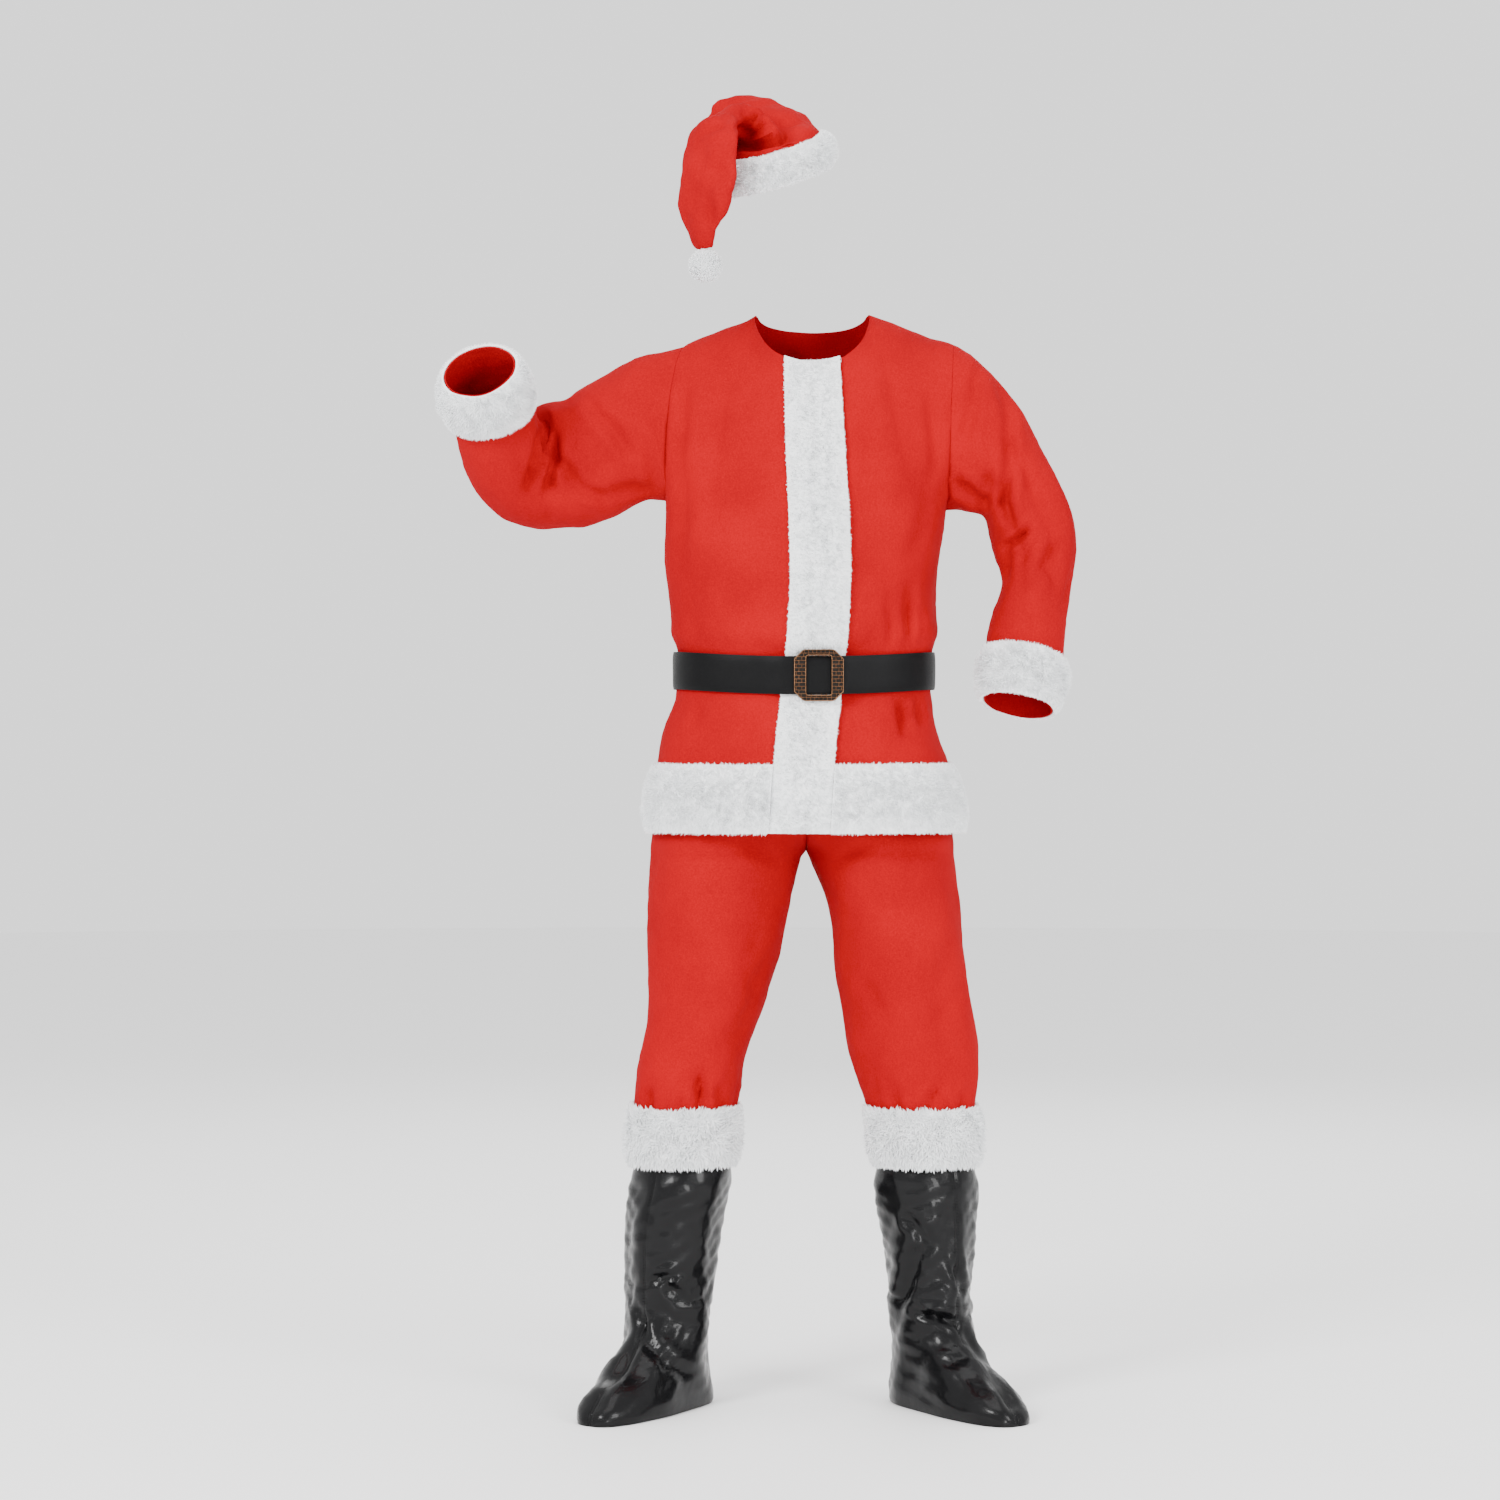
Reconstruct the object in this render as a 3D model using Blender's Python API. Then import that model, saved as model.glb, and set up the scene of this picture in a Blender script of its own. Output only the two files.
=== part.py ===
"""A santa suit in its worn, hollow form: jacket, trousers, belt, hat and boot covers.

Every cloth piece is a thin wall whose points are worked out from short tables of sections. Heights in the
tables are above the sole of the boot covers, and the finished part is set down so that its origin is the
point at shoulder height where a wearer holds it up. +X is the wearer's left, -Y is the front.
"""

import math

import bmesh
import bpy
import numpy as np

# Driving sizes, in metres
SHOULDER_HEIGHT = 1.566
CLOTH = 0.0025
VINYL = 0.0015
STRAP = 0.003
SEAM_GAP = 0.0003
ARMHOLE_SET = 0.0007
LAY_GAP = 0.0003
UNDERLAP = 0.040

HEM_FUR = 0.013
FRONT_FUR = 0.011
FRONT_FUR_UNDER_BELT = 0.003
CUFF_FUR = 0.015
LEG_FUR = 0.012
HAT_FUR = 0.014

FRONT_FUR_WIDTH = 0.085
HEM_FUR_TOP = 0.943
BELT_HALF_HEIGHT = 0.027
BELT_HEIGHT = 1.0695
BELT_MIDDLE_X = -0.003
BELT_HALF_WIDTH = 0.1875
BELT_FRONT = 0.1290
BELT_BACK = 0.1240
BELT_RISE = 0.009
BELT_ROUND = 48
BELT_CLEARANCE = 0.0022
BELT_OVER_FUR = (0.010, 0.042, 0.030)
BELT_PRESS_HALF_HEIGHT = 0.034

ARMPIT = 1.310
SECTION_POWER = 2.25

# Jacket sections below the arms: height, middle, half width, depth to the front, depth to the back
JACKET_COLUMNS = ("height", "middle", "half_width", "front", "back")
JACKET = (
    (0.846, 0.000, 0.2290, 0.160, 0.155),
    (0.895, -0.002, 0.2210, 0.154, 0.150),
    (0.943, -0.004, 0.2110, 0.147, 0.144),
    (0.985, -0.008, 0.2010, 0.139, 0.137),
    (1.040, -0.004, 0.1855, 0.127, 0.122),
    (1.070, -0.004, 0.1830, 0.124, 0.118),
    (1.100, -0.002, 0.1835, 0.126, 0.119),
    (1.130, -0.001, 0.1890, 0.133, 0.124),
    (1.196, -0.005, 0.1930, 0.137, 0.127),
    (1.250, -0.005, 0.1990, 0.139, 0.129),
    (1.310, 0.001, 0.2035, 0.138, 0.130),
    (1.420, 0.004, 0.2035, 0.131, 0.127),
    (1.520, 0.009, 0.2035, 0.098, 0.105),
)

# The opening edge of the wearer's right front, by height
OPENING_COLUMNS = ("height", "edge")
OPENING = (
    (0.846, 0.031),
    (0.985, 0.041),
    (1.070, 0.051),
    (1.196, 0.060),
    (1.310, 0.058),
    (1.420, 0.054),
    (1.520, 0.051),
)

# Armholes: x at the armpit, at half height and at the shoulder, heights, and depth each way
ARMHOLE_COLUMNS = ("armpit_x", "middle_x", "shoulder_x", "low", "high", "half_depth")
ARMHOLE = {
    "right": (-0.2025, -0.2000, -0.1740, ARMPIT, 1.5480, 0.072),
    "left": (0.2045, 0.2060, 0.2150, ARMPIT, 1.5515, 0.072),
}

NECK_MIDDLE = (0.009, 0.000)
NECK_HALF_WIDTH = 0.082
NECK_FRONT = 0.088
NECK_BACK = 0.072
NECK_SHOULDER_HEIGHT = 1.596
NECK_FRONT_HEIGHT = 1.516
NECK_BACK_HEIGHT = 1.578

# Right sleeve sections after the armhole: centre, half height across the arm, half depth
RAISED_COLUMNS = ("x", "y", "z", "half_high", "half_deep")
RAISED_SLEEVE = (
    (-0.2230, 0.000, 1.4285, 0.1070, 0.077),
    (-0.2570, 0.000, 1.4180, 0.0980, 0.076),
    (-0.2900, 0.000, 1.4020, 0.0950, 0.075),
    (-0.3200, 0.000, 1.3850, 0.0930, 0.074),
    (-0.3530, -0.001, 1.3780, 0.0930, 0.073),
    (-0.3850, -0.007, 1.3730, 0.0880, 0.071),
    (-0.4110, -0.022, 1.3690, 0.0790, 0.069),
    (-0.4290, -0.050, 1.3810, 0.0700, 0.065),
    (-0.4380, -0.082, 1.4110, 0.0630, 0.060),
    (-0.4460, -0.109, 1.4410, 0.0570, 0.057),
    (-0.4540, -0.137, 1.4680, 0.0540, 0.054),
    (-0.4620, -0.165, 1.4950, 0.0530, 0.053),
)

# Left sleeve sections after the armhole: its outer and inner outline, middle of the depth, half depth
BENT_COLUMNS = ("outer_x", "outer_z", "inner_x", "inner_z", "middle_y", "half_deep")
BENT_SLEEVE = (
    (0.2380, 1.5370, 0.2260, 1.3090, 0.000, 0.0750),
    (0.2620, 1.5140, 0.2440, 1.3065, 0.000, 0.0730),
    (0.2920, 1.4800, 0.2570, 1.3020, 0.002, 0.0710),
    (0.3220, 1.4340, 0.2650, 1.2890, 0.006, 0.0690),
    (0.3470, 1.3880, 0.2695, 1.2680, 0.010, 0.0670),
    (0.3680, 1.3500, 0.2745, 1.2460, 0.012, 0.0650),
    (0.3870, 1.3080, 0.2810, 1.2270, 0.012, 0.0630),
    (0.3935, 1.2600, 0.2850, 1.2080, 0.008, 0.0600),
    (0.3870, 1.2050, 0.2790, 1.1870, -0.004, 0.0570),
    (0.3770, 1.1455, 0.2650, 1.1530, -0.020, 0.0560),
    (0.3690, 1.0890, 0.2575, 1.1100, -0.036, 0.0550),
    (0.3620, 1.0550, 0.2555, 1.0740, -0.047, 0.0530),
    (0.3540, 1.0175, 0.2535, 1.0385, -0.058, 0.0515),
)
CUFF_LENGTH = {"right": 0.080, "left": 0.079}
ELBOW_EASE = 0.055

# Leg sections: height, middle, half width, half depth, middle of the depth
LEG_COLUMNS = ("height", "middle", "half_width", "half_depth", "middle_y")
LEG = {
    "right": (
        (0.372, -0.1790, 0.0735, 0.0760, 0.006),
        (0.435, -0.1770, 0.0740, 0.0770, 0.006),
        (0.457, -0.1740, 0.0780, 0.0810, 0.006),
        (0.479, -0.1704, 0.0805, 0.0840, 0.005),
        (0.522, -0.1624, 0.0800, 0.0850, 0.004),
        (0.587, -0.1440, 0.0850, 0.0890, 0.002),
        (0.653, -0.1349, 0.0943, 0.0960, 0.002),
        (0.740, -0.1254, 0.1035, 0.1060, 0.003),
        (0.812, -0.1150, 0.1105, 0.1160, 0.004),
    ),
    "left": (
        (0.372, 0.1740, 0.0735, 0.0760, 0.004),
        (0.435, 0.1705, 0.0750, 0.0780, 0.004),
        (0.457, 0.1668, 0.0800, 0.0830, 0.004),
        (0.479, 0.1646, 0.0850, 0.0870, 0.003),
        (0.522, 0.1588, 0.0906, 0.0890, 0.002),
        (0.587, 0.1486, 0.0915, 0.0910, 0.001),
        (0.653, 0.1378, 0.0928, 0.0960, 0.002),
        (0.740, 0.1276, 0.0975, 0.1060, 0.003),
        (0.812, 0.1080, 0.1075, 0.1160, 0.004),
    ),
}

# Hip sections above the crotch: height, outer edge of each side, front and back depth, and how far round
# the section the centre seam lies, from a whole half turn at the crotch to a quarter turn at the waist
HIP_COLUMNS = ("height", "right_x", "left_x", "front", "back", "turn")
HIP = (
    (0.812, -0.2255, 0.2155, 0.1120, 0.1200, 1.00),
    (0.840, -0.2235, 0.2140, 0.1200, 0.1270, 0.78),
    (0.880, -0.2170, 0.2080, 0.1250, 0.1300, 0.62),
    (0.930, -0.2060, 0.1990, 0.1260, 0.1280, 0.52),
    (0.985, -0.1980, 0.1850, 0.1240, 0.1230, 0.50),
    (1.040, -0.1830, 0.1760, 0.1155, 0.1150, 0.50),
)
WAISTBAND_TOP = 1.082
CENTRE_X = 0.0
LEG_FUR_TOP = 0.448
LEG_HEIGHTS = (
    0.366, 0.378, 0.407, 0.436, LEG_FUR_TOP, 0.465, 0.490, 0.522, 0.587, 0.653, 0.735,
    0.812, 0.835, 0.865, 0.910, 0.970, 1.040,
)
WAIST_HEIGHTS = (1.040, 1.060, WAISTBAND_TOP)

# Boot cover sections: height, middle at the ankle, reach back and forward along the foot, half width
BOOT_COLUMNS = ("height", "middle", "back", "fore", "half_width", "ease")
BOOT = {
    "right": (
        (0.402, -0.1790, 0.0687, 0.0687, 0.0677, 0.0),
        (0.372, -0.1788, 0.0692, 0.0692, 0.0682, 0.0),
        (0.340, -0.1810, 0.0740, 0.0740, 0.0730, 0.0),
        (0.283, -0.1910, 0.0730, 0.0720, 0.0700, 0.0),
        (0.218, -0.1965, 0.0700, 0.0680, 0.0660, 0.0),
        (0.165, -0.1995, 0.0670, 0.0650, 0.0635, 0.0),
        (0.130, -0.1995, 0.0650, 0.0700, 0.0600, 0.1),
        (0.104, -0.1980, 0.0660, 0.0950, 0.0560, 0.3),
        (0.080, -0.1970, 0.0700, 0.1350, 0.0530, 0.6),
        (0.058, -0.1960, 0.0730, 0.1750, 0.0530, 0.8),
        (0.036, -0.1955, 0.0740, 0.2050, 0.0540, 1.0),
        (0.016, -0.1955, 0.0730, 0.2120, 0.0545, 1.0),
    ),
    "left": (
        (0.402, 0.1735, 0.0685, 0.0685, 0.0675, 0.0),
        (0.372, 0.1738, 0.0690, 0.0690, 0.0680, 0.0),
        (0.340, 0.1733, 0.0745, 0.0745, 0.0740, 0.0),
        (0.283, 0.1769, 0.0720, 0.0710, 0.0690, 0.0),
        (0.218, 0.1805, 0.0690, 0.0670, 0.0640, 0.0),
        (0.165, 0.1810, 0.0670, 0.0650, 0.0620, 0.0),
        (0.130, 0.1815, 0.0650, 0.0700, 0.0600, 0.1),
        (0.104, 0.1820, 0.0660, 0.0950, 0.0560, 0.3),
        (0.080, 0.1825, 0.0700, 0.1350, 0.0530, 0.6),
        (0.058, 0.1830, 0.0730, 0.1750, 0.0530, 0.8),
        (0.036, 0.1835, 0.0740, 0.2050, 0.0540, 1.0),
        (0.016, 0.1835, 0.0730, 0.2120, 0.0545, 1.0),
    ),
}
TOE_OUT = {"right": math.radians(-32), "left": math.radians(32)}
BOOT_MIDDLE_Y = 0.005
BOOT_HEIGHTS = (
    0.016, 0.028, 0.042, 0.058, 0.074, 0.090, 0.106, 0.124,
    0.145, 0.175, 0.218, 0.265, 0.310, 0.340, 0.366, 0.392,
)
BOOT_RING = 20
BOOT_BLUNT_TOE = 0.25
BOOT_BROAD_TOE = 0.14

# Hat rings, from the lower edge of the crown to its tip: outer point, inner point, half thickness
HAT_COLUMNS = ("outer_x", "outer_y", "outer_z", "inner_x", "inner_y", "inner_z", "half")
HAT = (
    (0.0360, -0.020, 1.810, -0.1310, -0.020, 1.766, 0.1010),
    (0.0300, -0.020, 1.830, -0.1335, -0.020, 1.790, 0.1010),
    (0.0200, -0.020, 1.851, -0.1360, -0.022, 1.813, 0.1000),
    (0.0100, -0.018, 1.869, -0.1345, -0.024, 1.831, 0.0980),
    (-0.0145, -0.018, 1.881, -0.1240, -0.028, 1.840, 0.0900),
    (-0.0580, -0.022, 1.884, -0.1100, -0.040, 1.843, 0.0770),
    (-0.0990, -0.034, 1.872, -0.1000, -0.060, 1.842, 0.0560),
    (-0.1360, -0.060, 1.857, -0.0955, -0.112, 1.848, 0.0260),
    (-0.1620, -0.086, 1.838, -0.0975, -0.152, 1.836, 0.0190),
    (-0.1745, -0.092, 1.804, -0.1010, -0.168, 1.804, 0.0170),
    (-0.1795, -0.095, 1.762, -0.1055, -0.172, 1.764, 0.0150),
    (-0.1770, -0.095, 1.726, -0.1150, -0.164, 1.727, 0.0150),
    (-0.1680, -0.104, 1.696, -0.1290, -0.152, 1.695, 0.0120),
    (-0.1560, -0.114, 1.674, -0.1350, -0.134, 1.673, 0.0070),
)
HAT_TILT = math.radians(17)
HAT_TILT_RINGS = (4, 10)
HAT_RINGS = 25
HAT_ROUND = 18
HAT_BAND_RINGS = 4
POMPOM_CENTRE = (-0.1450, -0.124, 1.6495)
POMPOM_RADIUS = 0.0240
POMPOM_CORE = 0.82

BUCKLE_CENTRE_X = 0.016
BUCKLE_WIDTH = 0.070
BUCKLE_HEIGHT = 0.073
BUCKLE_THICKNESS = 0.005
BUCKLE_CORNER = 0.013
BUCKLE_WINDOW = (0.036, 0.056, 0.002)

# Folds: where on a tube (turn, from 0 to 1), how far along (0 to 1), half widths of each, and the depth
FOLD_COLUMNS = ("turn", "along", "turn_width", "along_width", "slant", "depth")
SLEEVE_FOLDS = {
    "right": (
        (0.18, 0.52, 0.050, 0.20, -0.10, -0.0100),
        (0.30, 0.60, 0.045, 0.16, 0.16, -0.0080),
        (0.38, 0.40, 0.040, 0.26, 0.04, 0.0050),
        (0.80, 0.56, 0.050, 0.20, 0.10, -0.0080),
    ),
    "left": (
        (0.16, 0.30, 0.040, 0.30, 0.06, -0.0060),
        (0.28, 0.26, 0.045, 0.28, 0.10, -0.0070),
        (0.33, 0.58, 0.050, 0.12, 0.20, -0.0080),
        (0.40, 0.50, 0.040, 0.16, -0.10, 0.0050),
        (0.78, 0.55, 0.050, 0.16, 0.10, -0.0070),
    ),
}

# Folds of a front panel: where, half widths, how far it leans off upright, and how deep it lies
FRONT_FOLD_COLUMNS = ("x", "height", "half_width", "half_height", "lean", "depth")
JACKET_FOLDS = (
    (0.137, 1.005, 0.021, 0.034, 0.00, 0.0070),
    (0.140, 1.150, 0.022, 0.036, 0.05, 0.0070),
    (0.096, 1.125, 0.024, 0.022, 0.10, 0.0040),
    (-0.150, 1.140, 0.026, 0.036, -0.10, 0.0060),
    (-0.135, 1.000, 0.030, 0.040, 0.10, 0.0040),
)
LEG_FOLDS = (
    (-0.078, 0.665, 0.027, 0.060, 0.10, 0.0070),
    (-0.086, 0.562, 0.032, 0.026, 0.60, 0.0080),
    (-0.153, 0.484, 0.023, 0.025, 0.00, 0.0085),
    (-0.215, 0.480, 0.022, 0.022, 0.20, 0.0060),
    (0.180, 0.486, 0.026, 0.022, 0.60, 0.0065),
    (0.205, 0.620, 0.030, 0.070, 0.10, 0.0050),
)

# Rows of the jacket's grid below the arms, and the columns of its fronts from the opening edge
BODY_HEIGHTS = (
    0.846, 0.855, 0.895, 0.934, HEM_FUR_TOP, 0.985, 1.015,
    1.040, 1.070, 1.100, 1.125, 1.150, 1.196, 1.250, ARMPIT,
)
UPPER_ROWS = 9
LAP_STEPS = (0.0, 0.028, UNDERLAP)
BAND_STEPS = (0.0, 0.033, FRONT_FUR_WIDTH - UNDERLAP)
NECK_COLUMNS = 3
SHOULDER_COLUMNS = 4
BACK_NECK_COLUMNS = 4
BACK_COLUMNS = BACK_NECK_COLUMNS + SHOULDER_COLUMNS
LEG_COLUMNS_ACROSS = 8
UNDERLAP_DROP = 0.0036
UNDERLAP_FADE = (0.20, 0.25)
FULL_TURN = 2 * math.pi
LINE_POINTS = 81


def named(table, columns, name):
    """One named column of a table."""
    return np.array([row[columns.index(name)] for row in table], float)


def smooth(at, knots, values):
    """A smooth curve through values at knots, read at one place or at many."""
    knots = np.asarray(knots, float)
    values = np.asarray(values, float)
    if knots[0] > knots[-1]:
        knots, values = knots[::-1], values[::-1]
    slope = np.gradient(values, knots)
    at = np.clip(at, knots[0], knots[-1])
    i = np.clip(np.searchsorted(knots, at) - 1, 0, len(knots) - 2)
    span = knots[i + 1] - knots[i]
    s = (at - knots[i]) / span
    return (
        (2 * s**3 - 3 * s**2 + 1) * values[i]
        + (s**3 - 2 * s**2 + s) * span * slope[i]
        + (3 * s**2 - 2 * s**3) * values[i + 1]
        + (s**3 - s**2) * span * slope[i + 1]
    )


def by_height(table, columns, name, height):
    """A named column of a table, read at a height."""
    return smooth(height, named(table, columns, columns[0]), named(table, columns, name))


def resampled(line, count):
    """A polyline with count points evenly along it."""
    line = np.asarray(line, float)
    length = np.concatenate([[0.0], np.cumsum(np.linalg.norm(np.diff(line, axis=0), axis=1))])
    at = np.linspace(0, length[-1], count)
    return np.stack([np.interp(at, length, line[:, k]) for k in range(3)], axis=1)


def power(value, exponent):
    """A signed power, for the sides of a superellipse."""
    return np.sign(value) * np.abs(value) ** exponent


def unit(vector):
    """A vector, or each of many, at length one."""
    vector = np.asarray(vector, float)
    return vector / np.maximum(np.linalg.norm(vector, axis=-1, keepdims=True), 1e-12)


def at_lengths(line, steps):
    """Points at distances along a polyline."""
    line = np.asarray(line, float)
    length = np.concatenate([[0.0], np.cumsum(np.linalg.norm(np.diff(line, axis=0), axis=1))])
    return np.stack([np.interp(steps, length, line[:, k]) for k in range(3)], axis=1)


def line_length(line):
    """The length of a polyline."""
    return float(np.linalg.norm(np.diff(np.asarray(line), axis=0), axis=1).sum())


def turned(corners):
    """A quad seen from its other side, split along the same diagonal."""
    return [corners[0], corners[3], corners[2], corners[1]]


class Cloth:
    """Grids of quads that share their points at seams, from which each piece gets its own wall."""

    def __init__(self):
        self.points = []
        self.found = {}
        self.faces = {}

    def point(self, place):
        """The number of a point, shared with any earlier one at the same place."""
        key = tuple(np.round(place, 6))
        if key not in self.found:
            self.found[key] = len(self.points)
            self.points.append(np.asarray(place, float))
        return self.found[key]

    def grid(self, piece, rows, outward=1):
        """Adds a grid of rows of points to a piece. outward is -1 where its faces would point inwards."""
        numbers = [[self.point(place) for place in row] for row in rows]
        faces = self.faces.setdefault(piece, [])
        for low, high in zip(numbers, numbers[1:]):
            for k in range(len(low) - 1):
                corners = [low[k], low[k + 1], high[k + 1], high[k]]
                faces.append(corners if outward > 0 else turned(corners))

    def normals(self):
        """The outward direction at each point, from all the faces that meet there."""
        points = np.array(self.points)
        total = np.zeros_like(points)
        for faces in self.faces.values():
            for a, b, c, d in faces:
                across = np.cross(points[c] - points[a], points[d] - points[b])
                for corner in (a, b, c, d):
                    total[corner] += across
        return points, unit(total)

    def wall(self, piece, thickness, inset=0.6 * SEAM_GAP):
        """The closed wall of a piece: vertices and faces. It lies inside the grid, clear of its seams."""
        points, normals = self.normals()
        faces = self.faces[piece]
        edges = {}
        for face in faces:
            for a, b in zip(face, face[1:] + face[:1]):
                edges[(a, b)] = face
        border = [(a, b) for a, b in edges if (b, a) not in edges]
        shift = {}
        for a, b in border:
            along = unit(points[b] - points[a])
            inward = np.cross(normals[a] + normals[b], along)
            for corner in (a, b):
                shift.setdefault(corner, []).append(unit(inward))
        used = sorted({corner for face in faces for corner in face})
        place = {}
        outer = []
        for corner in used:
            where = points[corner].copy()
            if corner in shift:
                mean = np.mean(shift[corner], axis=0)
                where = where + inset * mean / max(float(mean @ mean), 0.25)
            place[corner] = len(outer)
            outer.append(where)
        inner = [outer[place[corner]] - thickness * normals[corner] for corner in used]
        count = len(outer)
        solid = [[place[corner] for corner in face] for face in faces]
        solid += [[place[corner] + count for corner in turned(face)] for face in faces]
        solid += [[place[b], place[a], place[a] + count, place[b] + count] for a, b in border]
        return outer + inner, solid


def front_folds(folds, x, height):
    """How far the folds of a front panel draw it back at each x of a height."""
    depth = np.zeros_like(x)
    for row in folds:
        fold = dict(zip(FRONT_FOLD_COLUMNS, row))
        rise = height - fold["height"]
        across = (x - fold["x"] - fold["lean"] * rise) / fold["half_width"]
        depth = depth + fold["depth"] * np.exp(-(across**2) - (rise / fold["half_height"]) ** 2)
    return depth


def body_section(height, half):
    """A polyline over the front (half 1) or back (half -1) of the jacket, from its right side to its left."""
    middle, width, front, back = (
        by_height(JACKET, JACKET_COLUMNS, name, height) for name in JACKET_COLUMNS[1:]
    )
    depth = -front if half > 0 else back
    angle = np.linspace(math.pi, 0, LINE_POINTS)
    x = middle + width * power(np.cos(angle), 2 / SECTION_POWER)
    y = depth * power(np.sin(angle), 2 / SECTION_POWER)
    if half > 0:
        y = y + front_folds(JACKET_FOLDS, x, height)
    y[[0, -1]] = 0.0
    return np.stack([x, y, np.full(LINE_POINTS, height)], axis=1)


def opening_edge(height):
    """x of the opening edge at a height."""
    return float(by_height(OPENING, OPENING_COLUMNS, "edge", height))


def split_front(line, x):
    """The two stretches of a front section, from the underlap's edge to each side. x is the opening edge."""
    line = np.asarray(line)
    run = np.concatenate([[0.0], np.cumsum(np.linalg.norm(np.diff(line, axis=0), axis=1))])
    middle = float(np.interp(x, line[:, 0], run)) - UNDERLAP
    start = at_lengths(line, [middle])
    k = int(np.searchsorted(run, middle))
    return {"right": np.concatenate([start, line[:k][::-1]]), "left": np.concatenate([start, line[k:]])}


def armhole(side, share, half):
    """A point of an armhole, from the armpit (share 0) to the shoulder (1), on its front or back half."""
    hole = dict(zip(ARMHOLE_COLUMNS, ARMHOLE[side]))
    x = smooth(share, (0.0, 0.5, 1.0), (hole["armpit_x"], hole["middle_x"], hole["shoulder_x"]))
    low, high = hole["low"], hole["high"]
    z = (low + high) / 2 - (high - low) / 2 * np.cos(math.pi * share)
    y = -half * hole["half_depth"] * np.sin(math.pi * share)
    return np.stack([x + 0 * z, y, z], axis=-1)


def neck(turn):
    """A point of the neckline, by its turn from the middle of the front towards the wearer's left."""
    forward = np.cos(turn)
    x = NECK_MIDDLE[0] + NECK_HALF_WIDTH * np.sin(turn)
    y = NECK_MIDDLE[1] - np.where(forward > 0, NECK_FRONT, NECK_BACK) * forward
    drop = NECK_SHOULDER_HEIGHT - np.where(forward > 0, NECK_FRONT_HEIGHT, NECK_BACK_HEIGHT)
    return np.stack([x, y, NECK_SHOULDER_HEIGHT - drop * np.abs(forward)], axis=-1)


def patch(bottom, top, inner, outer, count):
    """A grid between four edges. bottom and top run from the inner to the outer edge."""
    share = np.linspace(0, 1, count)[:, None]
    across = np.concatenate([[0.0], np.cumsum(np.linalg.norm(np.diff(bottom, axis=0), axis=1))])
    across = (across / across[-1])[None, :, None]
    share = share[:, :, None]
    ruled = (1 - share) * bottom[None] + share * top[None]
    sides = (1 - across) * inner[:, None] + across * outer[:, None]
    corners = (1 - share) * ((1 - across) * bottom[0] + across * bottom[-1])
    corners = corners + share * ((1 - across) * top[0] + across * top[-1])
    return ruled + sides - corners


def top_row(turns, side, first, neck_columns):
    """Points along the neckline, first at given steps and then evenly, and on along the shoulder seam."""
    curve = neck(np.linspace(turns[0], turns[1], LINE_POINTS))
    steps = np.linspace(first[-1], line_length(curve), neck_columns + 1)[1:]
    along_neck = at_lengths(curve, np.concatenate([first, steps]))
    share = np.linspace(0, 1, SHOULDER_COLUMNS + 1)[1:, None]
    return np.concatenate([along_neck, curve[-1] + share * (armhole(side, 1.0, 1) - curve[-1])])


def spread(line, first, count):
    """Points along a line: at the first steps, and then evenly, count more."""
    return at_lengths(line, np.concatenate([first, np.linspace(first[-1], line_length(line), count + 1)[1:]]))


def upper_part(bottom, top, side, half):
    """The grid of one side of the jacket above the armpit, from its middle line to the armhole."""
    share = np.linspace(0, 1, UPPER_ROWS + 1)
    heights = ARMPIT + share * (top[0][2] - ARMPIT)
    depth = by_height(JACKET, JACKET_COLUMNS, "front" if half > 0 else "back", heights)
    middle = bottom[0][0] + share * (top[0][0] - bottom[0][0])
    inner = np.stack([middle, -half * depth, heights], axis=1)
    from_bottom, from_top = ((1 - share) ** 3)[:, None], (share**3)[:, None]
    inner = inner + from_bottom * (bottom[0] - inner[0]) + from_top * (top[0] - inner[-1])
    return patch(bottom, top, inner, armhole(side, share, half), UPPER_ROWS + 1)


def front_rows():
    """The grid of each front without its lap, from the hem to the neckline and the shoulder seam."""
    grids = {}
    for side, first in (("right", BAND_STEPS), ("left", LAP_STEPS)):
        columns = NECK_COLUMNS + SHOULDER_COLUMNS
        rows = []
        for height in BODY_HEIGHTS:
            line = split_front(body_section(height, 1), opening_edge(height))[side]
            rows.append(spread(line, first, columns))
        sign = -1 if side == "right" else 1
        top = top_row((0.0, sign * math.pi / 2), side, first, NECK_COLUMNS)
        grids[side] = np.concatenate([np.array(rows), upper_part(rows[-1], top, side, 1)[1:]])
    lap = grids["left"][:, len(LAP_STEPS) - 1 : 0 : -1]
    grids["right"] = np.concatenate([lap, grids["right"]], axis=1)
    return grids


def back_rows():
    """The grid of the back, from its right side seam to its left one."""
    rows = [resampled(body_section(height, -1), 2 * BACK_COLUMNS + 1) for height in BODY_HEIGHTS]
    halves = {}
    for side, sign in (("right", -1), ("left", 1)):
        bottom = rows[-1][BACK_COLUMNS::-1] if side == "right" else rows[-1][BACK_COLUMNS:]
        top = top_row((sign * math.pi, sign * math.pi / 2), side, (0.0,), BACK_NECK_COLUMNS)
        halves[side] = upper_part(bottom, top, side, -1)
    upper = np.concatenate([halves["right"][:, :0:-1], halves["left"]], axis=1)
    return np.concatenate([np.array(rows), upper[1:]])


def tube(centres, highs, deeps, count):
    """Closed rings of points. Each starts at the low end of its high axis and goes round by its deep one."""
    angle = np.linspace(0, FULL_TURN, count + 1)
    angle[-1] = 0.0
    down, aside = -np.cos(angle)[:, None], np.sin(angle)[:, None]
    return [centre + down * high + aside * deep for centre, high, deep in zip(centres, highs, deeps)]


def column_curve(table, columns, name, knots, at):
    """A named column as a smooth curve along a tube."""
    return smooth(at, knots, named(table, columns, name))


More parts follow.
